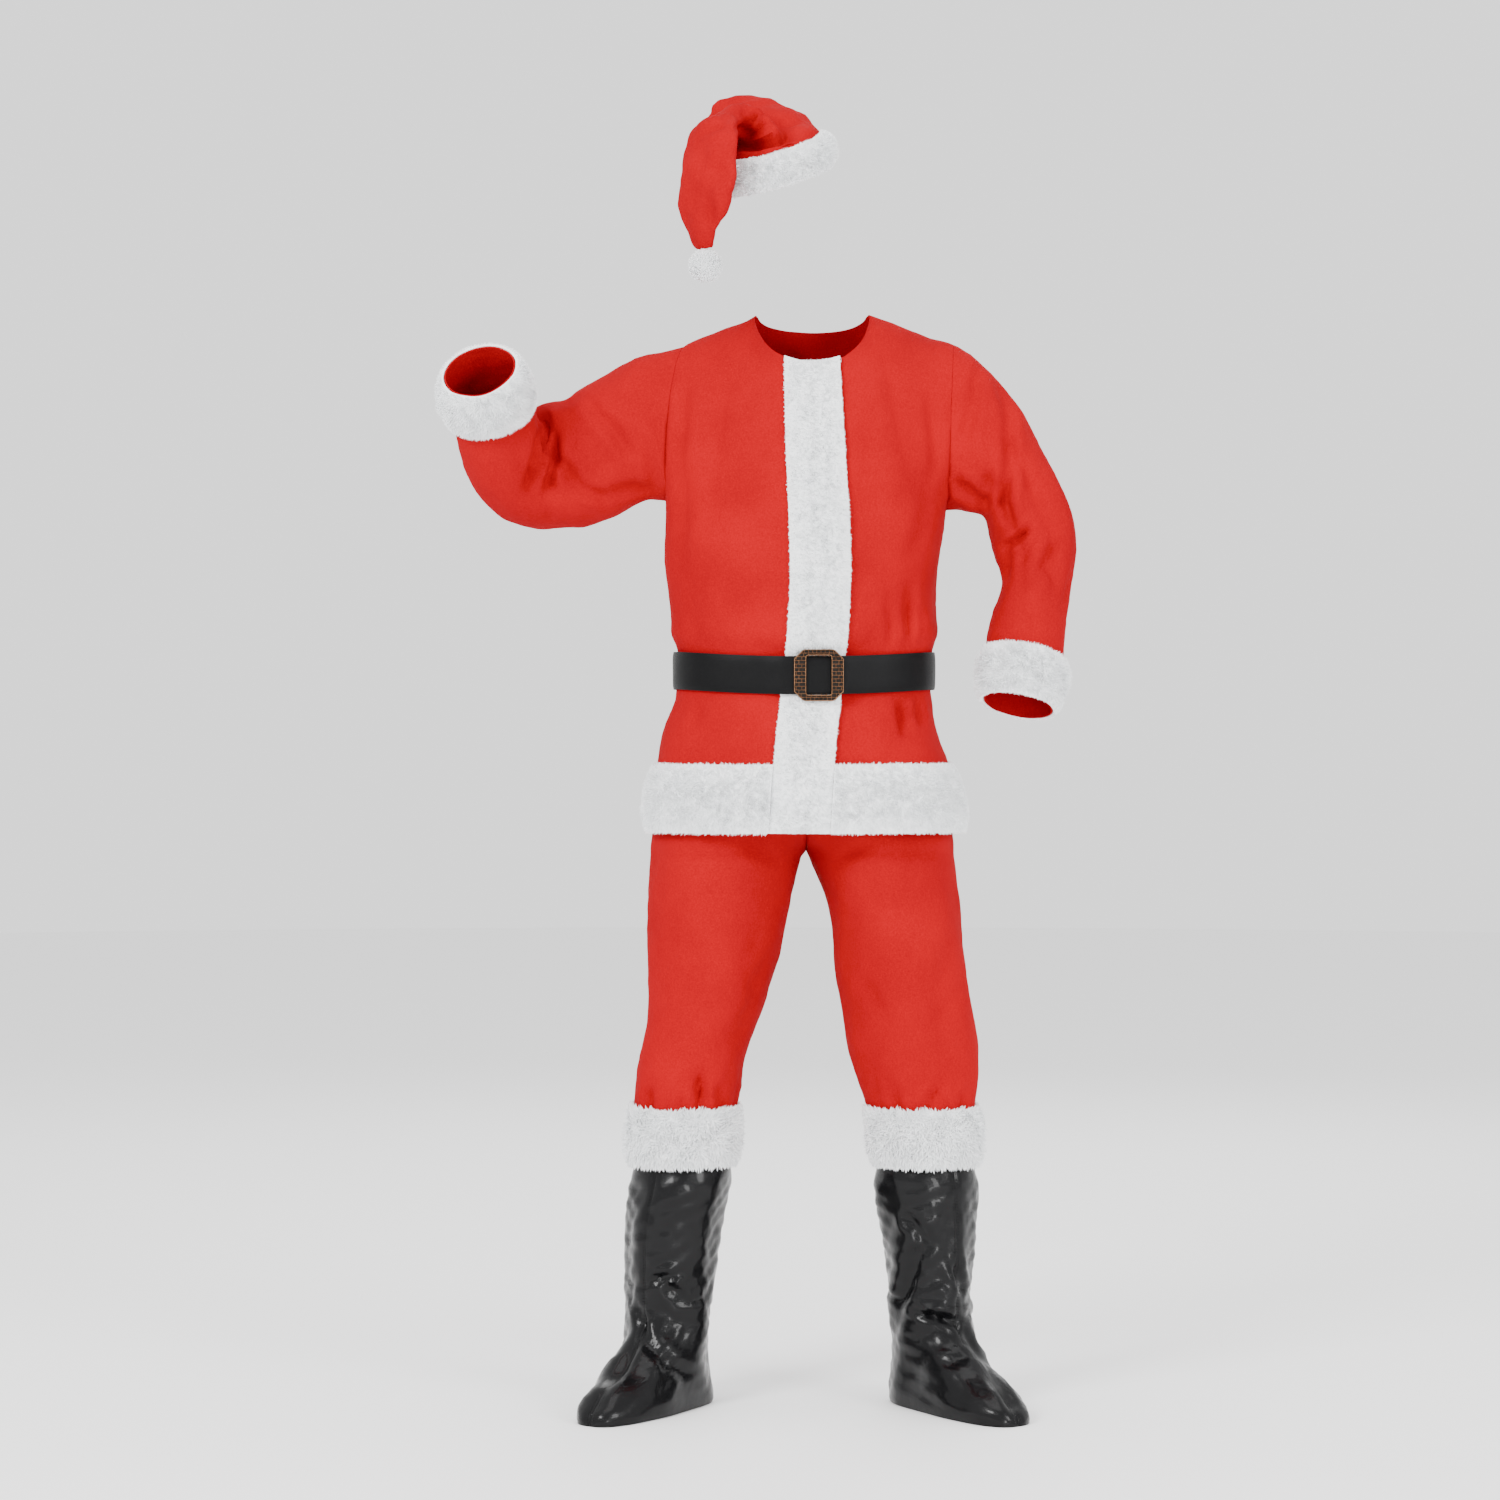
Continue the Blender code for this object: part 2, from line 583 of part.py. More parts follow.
def raised_rings(count):
    """Centres and half axes of the raised sleeve, turned evenly round its elbow."""
    start = np.array([(-0.19, 0.0, 1.43)])
    centre = np.stack([named(RAISED_SLEEVE, RAISED_COLUMNS, name) for name in "xyz"], axis=1)
    path = np.concatenate([start, centre])
    knots = np.concatenate([[0.0], np.cumsum(np.linalg.norm(np.diff(path, axis=0), axis=1))])
    at = np.linspace(knots[1], knots[-1], count)

    def place(length):
        length = np.clip(length, 0.0, knots[-1])
        return np.stack([smooth(length, knots, path[:, k]) for k in range(3)], axis=-1)

    centres = place(at)
    along = unit(place(at + ELBOW_EASE) - place(at - ELBOW_EASE))
    high = column_curve(RAISED_SLEEVE, RAISED_COLUMNS, "half_high", knots[1:], at)
    deep = column_curve(RAISED_SLEEVE, RAISED_COLUMNS, "half_deep", knots[1:], at)
    up = np.array([0.0, 0.0, 1.0])
    highs, deeps = [], []
    for direction, half_high, half_deep in zip(along, high, deep):
        up = unit(up - direction * (up @ direction))
        highs.append(half_high * up)
        deeps.append(half_deep * np.cross(up, direction))
    return centres, np.array(highs), np.array(deeps)


def edged_rings(outer, inner, half, count, first_deep):
    """Centres and half axes of a tube between two outlines, with its half depth and which way that starts."""
    middle = (outer + inner) / 2
    knots = np.concatenate([[0.0], np.cumsum(np.linalg.norm(np.diff(outer, axis=0), axis=1))])
    knots = knots + np.concatenate([[0.0], np.cumsum(np.linalg.norm(np.diff(middle, axis=0), axis=1))])
    at = np.linspace(0, knots[-1], count)
    step = knots[-1] / 40

    def place(values, where):
        where = np.clip(where, 0.0, knots[-1])
        return np.stack([smooth(where, knots, values[:, k]) for k in range(3)], axis=-1)

    centres = place(middle, at)
    highs = (place(outer, at) - place(inner, at)) / 2
    along = place(middle, at + step) - place(middle, at - step)
    deeps = unit(np.cross(along, highs))
    if deeps[0] @ np.asarray(first_deep) < 0:
        deeps = -deeps
    return centres, highs, deeps * smooth(at, knots, half)[:, None]


def bent_rings(count):
    """Centres and half axes of the sleeve whose hand rests on the hip."""
    columns = {name: named(BENT_SLEEVE, BENT_COLUMNS, name) for name in BENT_COLUMNS}
    outer = np.stack([columns["outer_x"], columns["middle_y"], columns["outer_z"]], axis=1)
    inner = np.stack([columns["inner_x"], columns["middle_y"], columns["inner_z"]], axis=1)
    return edged_rings(outer, inner, columns["half_deep"], count, (0, -1, 0))


def folded(rings, folds):
    """Rings with soft troughs and ridges, each from a row of a fold table."""
    rings = np.array(rings)
    centre = rings[:, :-1].mean(axis=1, keepdims=True)
    turn = np.linspace(0, 1, rings.shape[1])[None, :]
    along = np.linspace(0, 1, rings.shape[0])[:, None]
    depth = np.zeros(rings.shape[:2])
    for row in folds:
        fold = dict(zip(FOLD_COLUMNS, row))
        off_along = along - fold["along"]
        off_turn = (turn - fold["turn"] - fold["slant"] * off_along + 0.5) % 1.0 - 0.5
        reach = (off_turn / fold["turn_width"]) ** 2 + (off_along / fold["along_width"]) ** 2
        depth = depth + fold["depth"] * np.exp(-reach)
    return rings + unit(rings - centre) * depth[:, :, None]


def sleeve_rows(side, count):
    """The grid of a sleeve, whose first ring is the armhole itself."""
    share = np.linspace(0, 1, UPPER_ROWS + 1)
    first = np.concatenate([armhole(side, share, 1), armhole(side, share[-2::-1], -1)])
    if side == "right":
        rings = tube(*raised_rings(count), 2 * UPPER_ROWS)
    else:
        rings = tube(*bent_rings(count), 2 * UPPER_ROWS)
    return np.concatenate([first[None], folded(rings, SLEEVE_FOLDS[side])])


def fur_on(rows, normals, heights, outward=1, base=LAY_GAP):
    """A closed pad of fur on a grid: its back off the cloth by base, its front raised by heights."""
    under = rows + normals * base
    over = under + normals * np.asarray(heights)[..., None]
    across, along = rows.shape[1], rows.shape[0]
    closed = bool(np.allclose(rows[:, 0], rows[:, -1]))
    columns = across - 1 if closed else across
    over, under = over[:, :columns], under[:, :columns]
    vertices = list(over.reshape(-1, 3)) + list(under.reshape(-1, 3))
    count = along * columns

    def number(r, c, layer):
        return layer * count + r * columns + c % columns

    faces = []
    for r in range(along - 1):
        for c in range(columns if closed else columns - 1):
            quad = [number(r, c, 0), number(r, c + 1, 0), number(r + 1, c + 1, 0), number(r + 1, c, 0)]
            faces.append(quad)
            faces.append([k + count for k in turned(quad)])
    for c in range(columns if closed else columns - 1):
        faces.append([number(0, c + 1, 0), number(0, c, 0), number(0, c, 1), number(0, c + 1, 1)])
        last = along - 1
        faces.append([number(last, c, 0), number(last, c + 1, 0), number(last, c + 1, 1), number(last, c, 1)])
    if not closed:
        for r in range(along - 1):
            faces.append([number(r, 0, 0), number(r + 1, 0, 0), number(r + 1, 0, 1), number(r, 0, 1)])
            end = columns - 1
            faces.append([number(r + 1, end, 0), number(r, end, 0), number(r, end, 1), number(r + 1, end, 1)])
    if outward < 0:
        faces = [turned(face) for face in faces]
    return vertices, faces


def rounded(share, full, edge=0.3):
    """The height of a pad across its width: edge of the full height at its two sides, full in the middle."""
    return full * (edge + (1 - edge) * (1 - np.abs(2 * np.asarray(share) - 1) ** 2.6))


def grid_normals(cloth, rows):
    """The shared normals of a cloth's points, for a grid that is already part of it."""
    _, normals = cloth.normals()
    return np.array([[normals[cloth.point(place)] for place in row] for row in rows])


def width_shares(rows):
    """How far across a grid each of its columns lies, from 0 to 1, from its first row."""
    length = np.concatenate([[0.0], np.cumsum(np.linalg.norm(np.diff(rows[0], axis=0), axis=1))])
    return length / length[-1]


def smoothstep(value):
    """A soft step from 0 to 1."""
    value = np.clip(value, 0.0, 1.0)
    return value * value * (3 - 2 * value)


def jacket(pieces):
    """The jacket's panels, sleeves and fur bands, added to pieces by name."""
    fronts = front_rows()
    right, left, back = fronts["right"], fronts["left"], back_rows()
    cloth = Cloth()
    cloth.grid("jacket_front_right", right, -1)
    cloth.grid("jacket_back", back, -1)
    cloth.grid("left_front_shape", left)
    sleeves = {"right": sleeve_rows("right", 15), "left": sleeve_rows("left", 14)}
    cloth.grid("sleeve_right", sleeves["right"])
    cloth.grid("sleeve_left", sleeves["left"], -1)
    grids = {"right": right, "left": left, "back": back}
    normals = {side: grid_normals(cloth, rows) for side, rows in grids.items()}
    drop = UNDERLAP_DROP * (1 - smoothstep((width_shares(left) - UNDERLAP_FADE[0]) / UNDERLAP_FADE[1]))
    lowered = left - normals["left"] * drop[None, :, None]
    del cloth.faces["left_front_shape"]
    cloth.grid("jacket_front_left", lowered)
    for name in ("jacket_front_right", "jacket_front_left", "jacket_back"):
        pieces[name] = cloth.wall(name, CLOTH)
    for side in sleeves:
        pieces["sleeve_" + side] = cloth.wall("sleeve_" + side, CLOTH, ARMHOLE_SET)

    for side, rows in sleeves.items():
        pad = cuff_rows(rows, CUFF_LENGTH[side])
        outward = 1 if side == "right" else -1
        shape = Cloth()
        shape.grid("band", pad, outward)
        share = np.linspace(0, 1, len(pad))
        heights = np.repeat(rounded(share, CUFF_FUR)[:, None], pad.shape[1], axis=1)
        pieces["cuff_fur_" + side] = fur_on(pad, grid_normals(shape, pad), heights, outward, 2 * LAY_GAP)

    columns = len(LAP_STEPS) + len(BAND_STEPS) - 1
    band = right[:, :columns]
    share = width_shares(band)
    height = band[:, 0, 2]
    pressed = np.exp(-(((height - BELT_HEIGHT) / BELT_PRESS_HALF_HEIGHT) ** 4))
    full = FRONT_FUR + (FRONT_FUR_UNDER_BELT - FRONT_FUR) * pressed
    full[0] *= 0.5
    full[-1] *= 0.5
    heights = full[:, None] * rounded(share, 1.0)[None, :]
    pieces["front_fur"] = fur_on(band, normals["right"][:, :columns], heights, -1)
    pieces["hem_fur"] = hem_fur(grids, normals)


def cuff_rows(rows, length):
    """The last rings of a sleeve, cut to a band of a length."""
    middle = rows[:, :-1].mean(axis=1)
    run = np.concatenate([[0.0], np.cumsum(np.linalg.norm(np.diff(middle, axis=0), axis=1))])
    at = run[-1] - length + np.linspace(0, length, 6)
    inside = run[run > at[0] + 1e-4]
    at = np.unique(np.round(np.concatenate([[at[0]], inside]), 6))
    at[-1] = run[-1]
    out = []
    for where in at:
        k = min(int(np.searchsorted(run, where)), len(run) - 1)
        share = (where - run[k - 1]) / (run[k] - run[k - 1])
        out.append(rows[k - 1] + share * (rows[k] - rows[k - 1]))
    return np.array(out)


def round_the_hem(grids, rows):
    """The low rows of the three panels as one grid, from the left opening edge by the back to the right."""
    right = grids["right"][:rows, len(LAP_STEPS) + len(BAND_STEPS) - 2 :]
    left = grids["left"][:rows, len(LAP_STEPS) - 1 :]
    whole = np.concatenate([right, grids["back"][:rows, 1:], left[:, -2::-1]], axis=1)
    return whole[:, ::-1].copy()


def hem_fur(grids, normals):
    """The band round the hem: from the front fur's edge, round the back, to the opening edge on the left."""
    rows = BODY_HEIGHTS.index(HEM_FUR_TOP) + 1
    grid = round_the_hem(grids, rows)
    normals = round_the_hem(normals, rows)
    step = unit(grid[:, 1] - grid[:, 0])
    grid[:, 0] += SEAM_GAP * 2 * step
    step = unit(grid[:, -2] - grid[:, -1])
    grid[:, -1] += (SEAM_GAP * 2) * step
    height = grid[:, 0, 2]
    share = (height - height[0]) / (height[-1] - height[0])
    heights = np.repeat(rounded(share, HEM_FUR, 0.35)[:, None], grid.shape[1], axis=1)
    return fur_on(grid, normals, heights)


def leg_row(side, height, half):
    """A polyline across a leg at a height, front (half 1) or back (-1), from the side seam to the inseam."""
    sign = -1 if side == "right" else 1
    if height <= LEG[side][-1][0]:
        middle, width, deep, middle_y = (
            by_height(LEG[side], LEG_COLUMNS, name, height) for name in LEG_COLUMNS[1:]
        )
        angle = np.linspace(0, math.pi, LINE_POINTS)
        x = middle + sign * width * np.cos(angle)
        y = middle_y - half * deep * np.sin(angle)
        if half > 0:
            y = y + front_folds(LEG_FOLDS, x, height) * np.sin(angle)
        return np.stack([x, y, np.full(LINE_POINTS, height)], axis=1)
    edge = by_height(HIP, HIP_COLUMNS, side + "_x", height)
    deep = by_height(HIP, HIP_COLUMNS, "front" if half > 0 else "back", height)
    end = math.pi * by_height(HIP, HIP_COLUMNS, "turn", height)
    middle_y = 0.004 * smoothstep((0.86 - height) / 0.05)
    angle = np.linspace(0, end, LINE_POINTS)
    x = edge + (CENTRE_X - edge) * (1 - np.cos(angle)) / (1 - math.cos(end))
    y = middle_y - half * deep * np.sin(angle)
    return np.stack([x, y, np.full(LINE_POINTS, height)], axis=1)


def trousers(pieces):
    """The trousers: a front and a back for each leg, the waistband, and the fur at each leg's end."""
    cloth = Cloth()
    legs = {}
    for side in ("right", "left"):
        for half, word in ((1, "front"), (-1, "back")):
            rows = [resampled(leg_row(side, height, half), LEG_COLUMNS_ACROSS + 1) for height in LEG_HEIGHTS]
            outward = half if side == "right" else -half
            cloth.grid(f"leg_{word}_{side}", rows, outward)
            legs[side, half] = np.array(rows)
    band = []
    for height in WAIST_HEIGHTS:
        front = waist_row(height, 1)
        band.append(np.concatenate([front, waist_row(height, -1)[-2::-1]]))
    cloth.grid("waistband", band)
    for name in list(cloth.faces):
        pieces[name] = cloth.wall(name, CLOTH)
    for side in ("right", "left"):
        rows = np.concatenate([legs[side, 1], legs[side, -1][:, -2::-1]], axis=1)
        low = [k for k, height in enumerate(LEG_HEIGHTS) if height <= LEG_FUR_TOP + 1e-9]
        rows = rows[low]
        normals = grid_normals(cloth, rows)
        if side == "left":
            rows, normals = rows[:, ::-1], normals[:, ::-1]
        share = np.linspace(0, 1, len(rows))
        heights = np.repeat(rounded(share, LEG_FUR, 0.4)[:, None], rows.shape[1], axis=1)
        pieces["leg_fur_" + side] = fur_on(rows, normals, heights)


def waist_row(height, half):
    """A polyline round the front or the back of the waist, from the wearer's right to the left."""
    right = resampled(leg_row("right", 1.040, half), LEG_COLUMNS_ACROSS + 1)
    left = resampled(leg_row("left", 1.040, half), LEG_COLUMNS_ACROSS + 1)
    row = np.concatenate([right, left[-2::-1]])
    row[:, 2] = height
    return row


def boot_ring(side, height, count):
    """A closed outline of a boot cover at a height, from the heel by its outer side round to the toe."""
    middle, back, fore, half, ease = (
        by_height(BOOT[side], BOOT_COLUMNS, name, height) for name in BOOT_COLUMNS[1:]
    )
    sign = -1 if side == "right" else 1
    turn = TOE_OUT[side]
    ahead = np.array([math.sin(turn), -math.cos(turn)])
    outer = np.array([sign * math.cos(turn), sign * math.sin(turn)])
    angle = np.linspace(0, FULL_TURN, count + 1)
    forward = -np.cos(angle)
    sideways = np.sin(angle)
    reach = np.where(forward > 0, fore, back)
    blunt = 1 - BOOT_BLUNT_TOE * ease
    along = reach * power(forward, blunt)
    across = half * power(sideways, blunt) * (1 + BOOT_BROAD_TOE * ease * forward)
    x = middle + along * ahead[0] + across * outer[0]
    y = BOOT_MIDDLE_Y + along * ahead[1] + across * outer[1]
    ring = np.stack([x, y, np.full(count + 1, height)], axis=1)
    ring[-1] = ring[0]
    return ring


def boots(pieces):
    """The boot covers: an outer and an inner half each, seamed down the heel and the front."""
    for side in ("right", "left"):
        cloth = Cloth()
        rings = np.array([boot_ring(side, height, BOOT_RING) for height in BOOT_HEIGHTS])
        half = BOOT_RING // 2
        outward = 1 if side == "right" else -1
        cloth.grid("boot_outer_" + side, rings[:, : half + 1], outward)
        cloth.grid("boot_inner_" + side, rings[:, half:], outward)
        for name in list(cloth.faces):
            pieces[name] = cloth.wall(name, VINYL)


def hat(pieces):
    """The hat: a long cone that falls over to one side, its fur band and its pompom."""
    outer = np.stack([named(HAT, HAT_COLUMNS, "outer_" + axis) for axis in "xyz"], axis=1)
    inner = np.stack([named(HAT, HAT_COLUMNS, "inner_" + axis) for axis in "xyz"], axis=1)
    half = named(HAT, HAT_COLUMNS, "half")
    rings = tilted(tube(*edged_rings(outer, inner, half, HAT_RINGS, (0, -1, 0)), HAT_ROUND))
    cloth = Cloth()
    cloth.grid("hat_crown", rings)
    pieces["hat_crown"] = cloth.wall("hat_crown", CLOTH)
    band = rings[:HAT_BAND_RINGS]
    share = width_shares(band.transpose(1, 0, 2))
    heights = np.repeat(rounded(share, HAT_FUR, 0.15)[:, None], band.shape[1], axis=1)
    pieces["hat_fur"] = fur_on(band, grid_normals(cloth, band), heights)


def tilted(rings):
    """The rings round the head with their front lower than their back, less and less towards the tip."""
    out = np.array(rings)
    centre = out[0, :-1].mean(axis=0)
    first, over = HAT_TILT_RINGS
    fade = 1 - smoothstep((np.arange(len(out)) - first) / over)
    out[:, :, 2] += np.tan(HAT_TILT) * (out[:, :, 1] - centre[1]) * fade[:, None]
    return out


def belt_line(height, count):
    """Points round the belt's inner face at a height, from the buckle round the wearer's left side."""
    angle = np.linspace(0, FULL_TURN, count + 1) - math.pi / 2
    angle[-1] = angle[0]
    depth = np.where(np.sin(angle) < 0, BELT_FRONT, BELT_BACK)
    x = BELT_MIDDLE_X + BELT_HALF_WIDTH * power(np.cos(angle), 2 / SECTION_POWER)
    y = depth * power(np.sin(angle), 2 / SECTION_POWER)
    return np.stack([x, y, np.full(count + 1, height)], axis=1)


def belt(pieces):
    """The belt: a strap that rides over the front fur, and its buckle."""
    rows = []
    for share in (-1.0, 0.0, 1.0):
        line = belt_line(0.0, BELT_ROUND)
        middle, flat, fade = BELT_OVER_FUR
        over = 1 - smoothstep((np.abs(line[:, 0] - middle) - flat) / fade)
        over = over * (line[:, 1] < 0)
        line[:, 1] -= (FRONT_FUR_UNDER_BELT + BELT_CLEARANCE) * over
        line[:, 2] = BELT_HEIGHT + share * BELT_HALF_HEIGHT + BELT_RISE * (line[:, 0] / BELT_HALF_WIDTH) ** 2
        rows.append(line)
    shape = Cloth()
    shape.grid("strap", rows)
    rows = np.array(rows)
    heights = np.full(rows.shape[:2], STRAP)
    pieces["belt_strap"] = fur_on(rows, grid_normals(shape, rows), heights, 1, 0.0)


MATERIALS = {
    "red_cloth": ((0.78, 0.012, 0.018), 0.85, 0.0),
    "white_fur": ((0.82, 0.84, 0.83), 0.90, 0.0),
    "black_strap": ((0.018, 0.018, 0.019), 0.42, 0.0),
    "black_vinyl": ((0.008, 0.008, 0.009), 0.22, 0.0),
    "brass": ((0.30, 0.17, 0.09), 0.38, 1.0),
}


def material(name):
    """A plain material of the part's own colour."""
    found = bpy.data.materials.get(name)
    if found:
        return found
    colour, roughness, metallic = MATERIALS[name]
    made = bpy.data.materials.new(name)
    made.use_nodes = True
    shader = made.node_tree.nodes["Principled BSDF"]
    shader.inputs["Base Color"].default_value = (*colour, 1.0)
    shader.inputs["Roughness"].default_value = roughness
    shader.inputs["Metallic"].default_value = metallic
    return made


def finish_of(name):
    """The material's name for a piece."""
    if "fur" in name or name == "pompom":
        return "white_fur"
    if name.startswith("boot"):
        return "black_vinyl"
    return {"belt_strap": "black_strap", "belt_buckle": "brass"}.get(name, "red_cloth")


def add_piece(name, vertices, faces, collection):
    """One named object, with its material and smooth faces."""
    mesh = bpy.data.meshes.new(name)
    moved = [(x, y, z - SHOULDER_HEIGHT) for x, y, z in vertices]
    mesh.from_pydata(moved, [], faces)
    mesh.validate()
    for polygon in mesh.polygons:
        polygon.use_smooth = True
    mesh.materials.append(material(finish_of(name)))
    made = bpy.data.objects.new(name, mesh)
    collection.objects.link(made)
    return made


def clear_scene():
    """Removes the objects that the scene started with."""
    for found in list(bpy.data.objects):
        bpy.data.objects.remove(found, do_unlink=True)


def octagon(width, height, corner):
    """The eight corners of a rectangle with its corners cut off, in order."""
    w, h = width / 2, height / 2
    return [
        (w, -h + corner), (w, h - corner), (w - corner, h), (-w + corner, h),
        (-w, h - corner), (-w, -h + corner), (-w + corner, -h), (w - corner, -h),
    ]


def buckle(collection):
    """The buckle's frame: a thick plate with cut corners, and a window for the strap."""
    front = BELT_FRONT + FRONT_FUR_UNDER_BELT + BELT_CLEARANCE + STRAP + 2 * LAY_GAP
    outline = bpy.data.curves.new("belt_buckle", "CURVE")
    outline.dimensions = "2D"
    outline.fill_mode = "BOTH"
    outline.extrude = BUCKLE_THICKNESS / 2
    window = octagon(*BUCKLE_WINDOW)
    for corners in (octagon(BUCKLE_WIDTH, BUCKLE_HEIGHT, BUCKLE_CORNER), window):
        spline = outline.splines.new("POLY")
        spline.points.add(len(corners) - 1)
        for point, (x, y) in zip(spline.points, corners):
            point.co = (x, y, 0.0, 1.0)
        spline.use_cyclic_u = True
    made = bpy.data.objects.new("belt_buckle", outline)
    made.rotation_euler = (math.pi / 2, 0.0, 0.0)
    depth = front + BUCKLE_THICKNESS / 2
    made.location = (BUCKLE_CENTRE_X, -depth, BELT_HEIGHT - SHOULDER_HEIGHT)
    outline.materials.append(material("brass"))
    collection.objects.link(made)


def pompom(collection):
    """The pompom: a ball of short locks whose roots are fused into a core."""
    mesh = bpy.data.meshes.new("pompom")
    shape = bmesh.new()
    bmesh.ops.create_icosphere(shape, subdivisions=2, radius=POMPOM_RADIUS * POMPOM_CORE)
    shape.faces.ensure_lookup_table()
    for face in list(shape.faces)[::2]:
        poked = bmesh.ops.poke(shape, faces=[face])
        for tip in poked["verts"]:
            tip.co = unit(np.array(tip.co)) * POMPOM_RADIUS
    shape.to_mesh(mesh)
    shape.free()
    mesh.materials.append(material("white_fur"))
    made = bpy.data.objects.new("pompom", mesh)
    x, y, z = POMPOM_CENTRE
    made.location = (x, y, z - SHOULDER_HEIGHT)
    collection.objects.link(made)


def main():
    """Builds every piece of the suit."""
    clear_scene()
    collection = bpy.data.collections.new("santa_suit")
    bpy.context.scene.collection.children.link(collection)
    pieces = {}
    jacket(pieces)
    trousers(pieces)
    boots(pieces)
    hat(pieces)
    belt(pieces)
    for name, (vertices, faces) in pieces.items():
        add_piece(name, vertices, faces, collection)
    buckle(collection)
    pompom(collection)


main()
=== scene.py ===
"""A worn santa suit: fleece jacket, trousers and hat with plush bands, a belt and glossy boot covers.

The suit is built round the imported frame. Heights in the tables are above the ground, and every piece is set
down by SHOULDER_HEIGHT, so that the origin is the point at the shoulders where the suit is held up. Right and
left are as worn: +X is left.
"""

import logging
import math
from dataclasses import dataclass, field
from enum import Enum
from typing import Callable, Iterable, Sequence

import bpy
import numpy as np
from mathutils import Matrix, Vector

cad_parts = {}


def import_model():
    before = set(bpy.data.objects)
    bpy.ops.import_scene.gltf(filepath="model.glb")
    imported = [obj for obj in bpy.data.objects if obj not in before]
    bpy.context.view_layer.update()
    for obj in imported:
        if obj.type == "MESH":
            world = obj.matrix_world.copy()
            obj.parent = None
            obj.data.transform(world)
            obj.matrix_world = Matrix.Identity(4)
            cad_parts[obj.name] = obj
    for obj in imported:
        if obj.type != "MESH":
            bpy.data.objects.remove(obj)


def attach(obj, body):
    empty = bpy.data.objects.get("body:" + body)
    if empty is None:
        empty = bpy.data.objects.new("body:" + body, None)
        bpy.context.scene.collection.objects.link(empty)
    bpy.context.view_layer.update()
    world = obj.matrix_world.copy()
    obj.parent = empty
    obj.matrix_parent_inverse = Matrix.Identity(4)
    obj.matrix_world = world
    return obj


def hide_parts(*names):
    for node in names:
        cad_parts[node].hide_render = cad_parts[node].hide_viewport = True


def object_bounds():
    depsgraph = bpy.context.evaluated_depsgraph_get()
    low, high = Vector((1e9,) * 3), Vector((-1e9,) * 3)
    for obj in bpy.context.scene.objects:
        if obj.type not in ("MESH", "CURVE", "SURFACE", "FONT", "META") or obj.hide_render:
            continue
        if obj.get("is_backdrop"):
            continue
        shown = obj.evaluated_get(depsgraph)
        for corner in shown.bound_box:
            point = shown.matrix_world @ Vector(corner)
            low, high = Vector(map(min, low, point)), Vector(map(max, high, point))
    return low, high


LOG = logging.getLogger("santa_suit")
Grid = np.ndarray
Faces = list[list[int]]

# Driving sizes, in metres
SHOULDER_HEIGHT = 1.566
CLOTH = 0.0025
VINYL = 0.0015
STRAP = 0.003
SEAM_GAP = 0.0003
LAY_GAP = 0.0003
UNDERLAP = 0.040

HEM_FUR = 0.013
FRONT_FUR = 0.011
FRONT_FUR_UNDER_BELT = 0.003
CUFF_FUR = 0.015
LEG_FUR = 0.012
HAT_FUR = 0.014

FRONT_FUR_WIDTH = 0.085
HEM_FUR_TOP = 0.943
BELT_HALF_HEIGHT = 0.027
BELT_HEIGHT = 1.0695
BELT_MIDDLE_X = -0.003
BELT_HALF_WIDTH = 0.1875
BELT_FRONT = 0.1290
BELT_BACK = 0.1240
BELT_RISE = 0.009
BELT_CLEARANCE = 0.0022
BELT_OVER_FUR = (0.010, 0.042, 0.030)
BELT_PRESS_HALF_HEIGHT = 0.034

ARMPIT = 1.310
SECTION_POWER = 2.25

# Jacket sections below the arms: height, middle, half width, depth to the front, depth to the back
JACKET_COLUMNS = ("height", "middle", "half_width", "front", "back")
JACKET = (
    (0.846, 0.000, 0.2290, 0.160, 0.155),
    (0.895, -0.002, 0.2210, 0.154, 0.150),
    (0.943, -0.004, 0.2110, 0.147, 0.144),
    (0.985, -0.008, 0.2010, 0.139, 0.137),
    (1.040, -0.004, 0.1855, 0.127, 0.122),
    (1.070, -0.004, 0.1830, 0.124, 0.118),
    (1.100, -0.002, 0.1835, 0.126, 0.119),
    (1.130, -0.001, 0.1890, 0.133, 0.124),
    (1.196, -0.005, 0.1930, 0.137, 0.127),
    (1.250, -0.005, 0.1990, 0.139, 0.129),
    (1.310, 0.001, 0.2035, 0.138, 0.130),
    (1.420, 0.004, 0.2035, 0.131, 0.127),
    (1.520, 0.009, 0.2035, 0.098, 0.105),
)

# The opening edge of the right front, by height
OPENING_COLUMNS = ("height", "edge")
OPENING = (
    (0.846, 0.031),
    (0.985, 0.041),
    (1.070, 0.051),
    (1.196, 0.060),
    (1.310, 0.058),
    (1.420, 0.054),
    (1.520, 0.051),
)

# Armholes: x at the armpit, at half height and at the shoulder, heights, and depth each way
ARMHOLE_COLUMNS = ("armpit_x", "middle_x", "shoulder_x", "low", "high", "half_depth")
ARMHOLE = {
    "right": (-0.2025, -0.2000, -0.1740, ARMPIT, 1.5480, 0.072),
    "left": (0.2045, 0.2060, 0.2150, ARMPIT, 1.5515, 0.072),
}

NECK_MIDDLE = (0.009, 0.000)
NECK_HALF_WIDTH = 0.082
NECK_FRONT = 0.088
NECK_BACK = 0.072
NECK_SHOULDER_HEIGHT = 1.596
NECK_FRONT_HEIGHT = 1.516
NECK_BACK_HEIGHT = 1.578

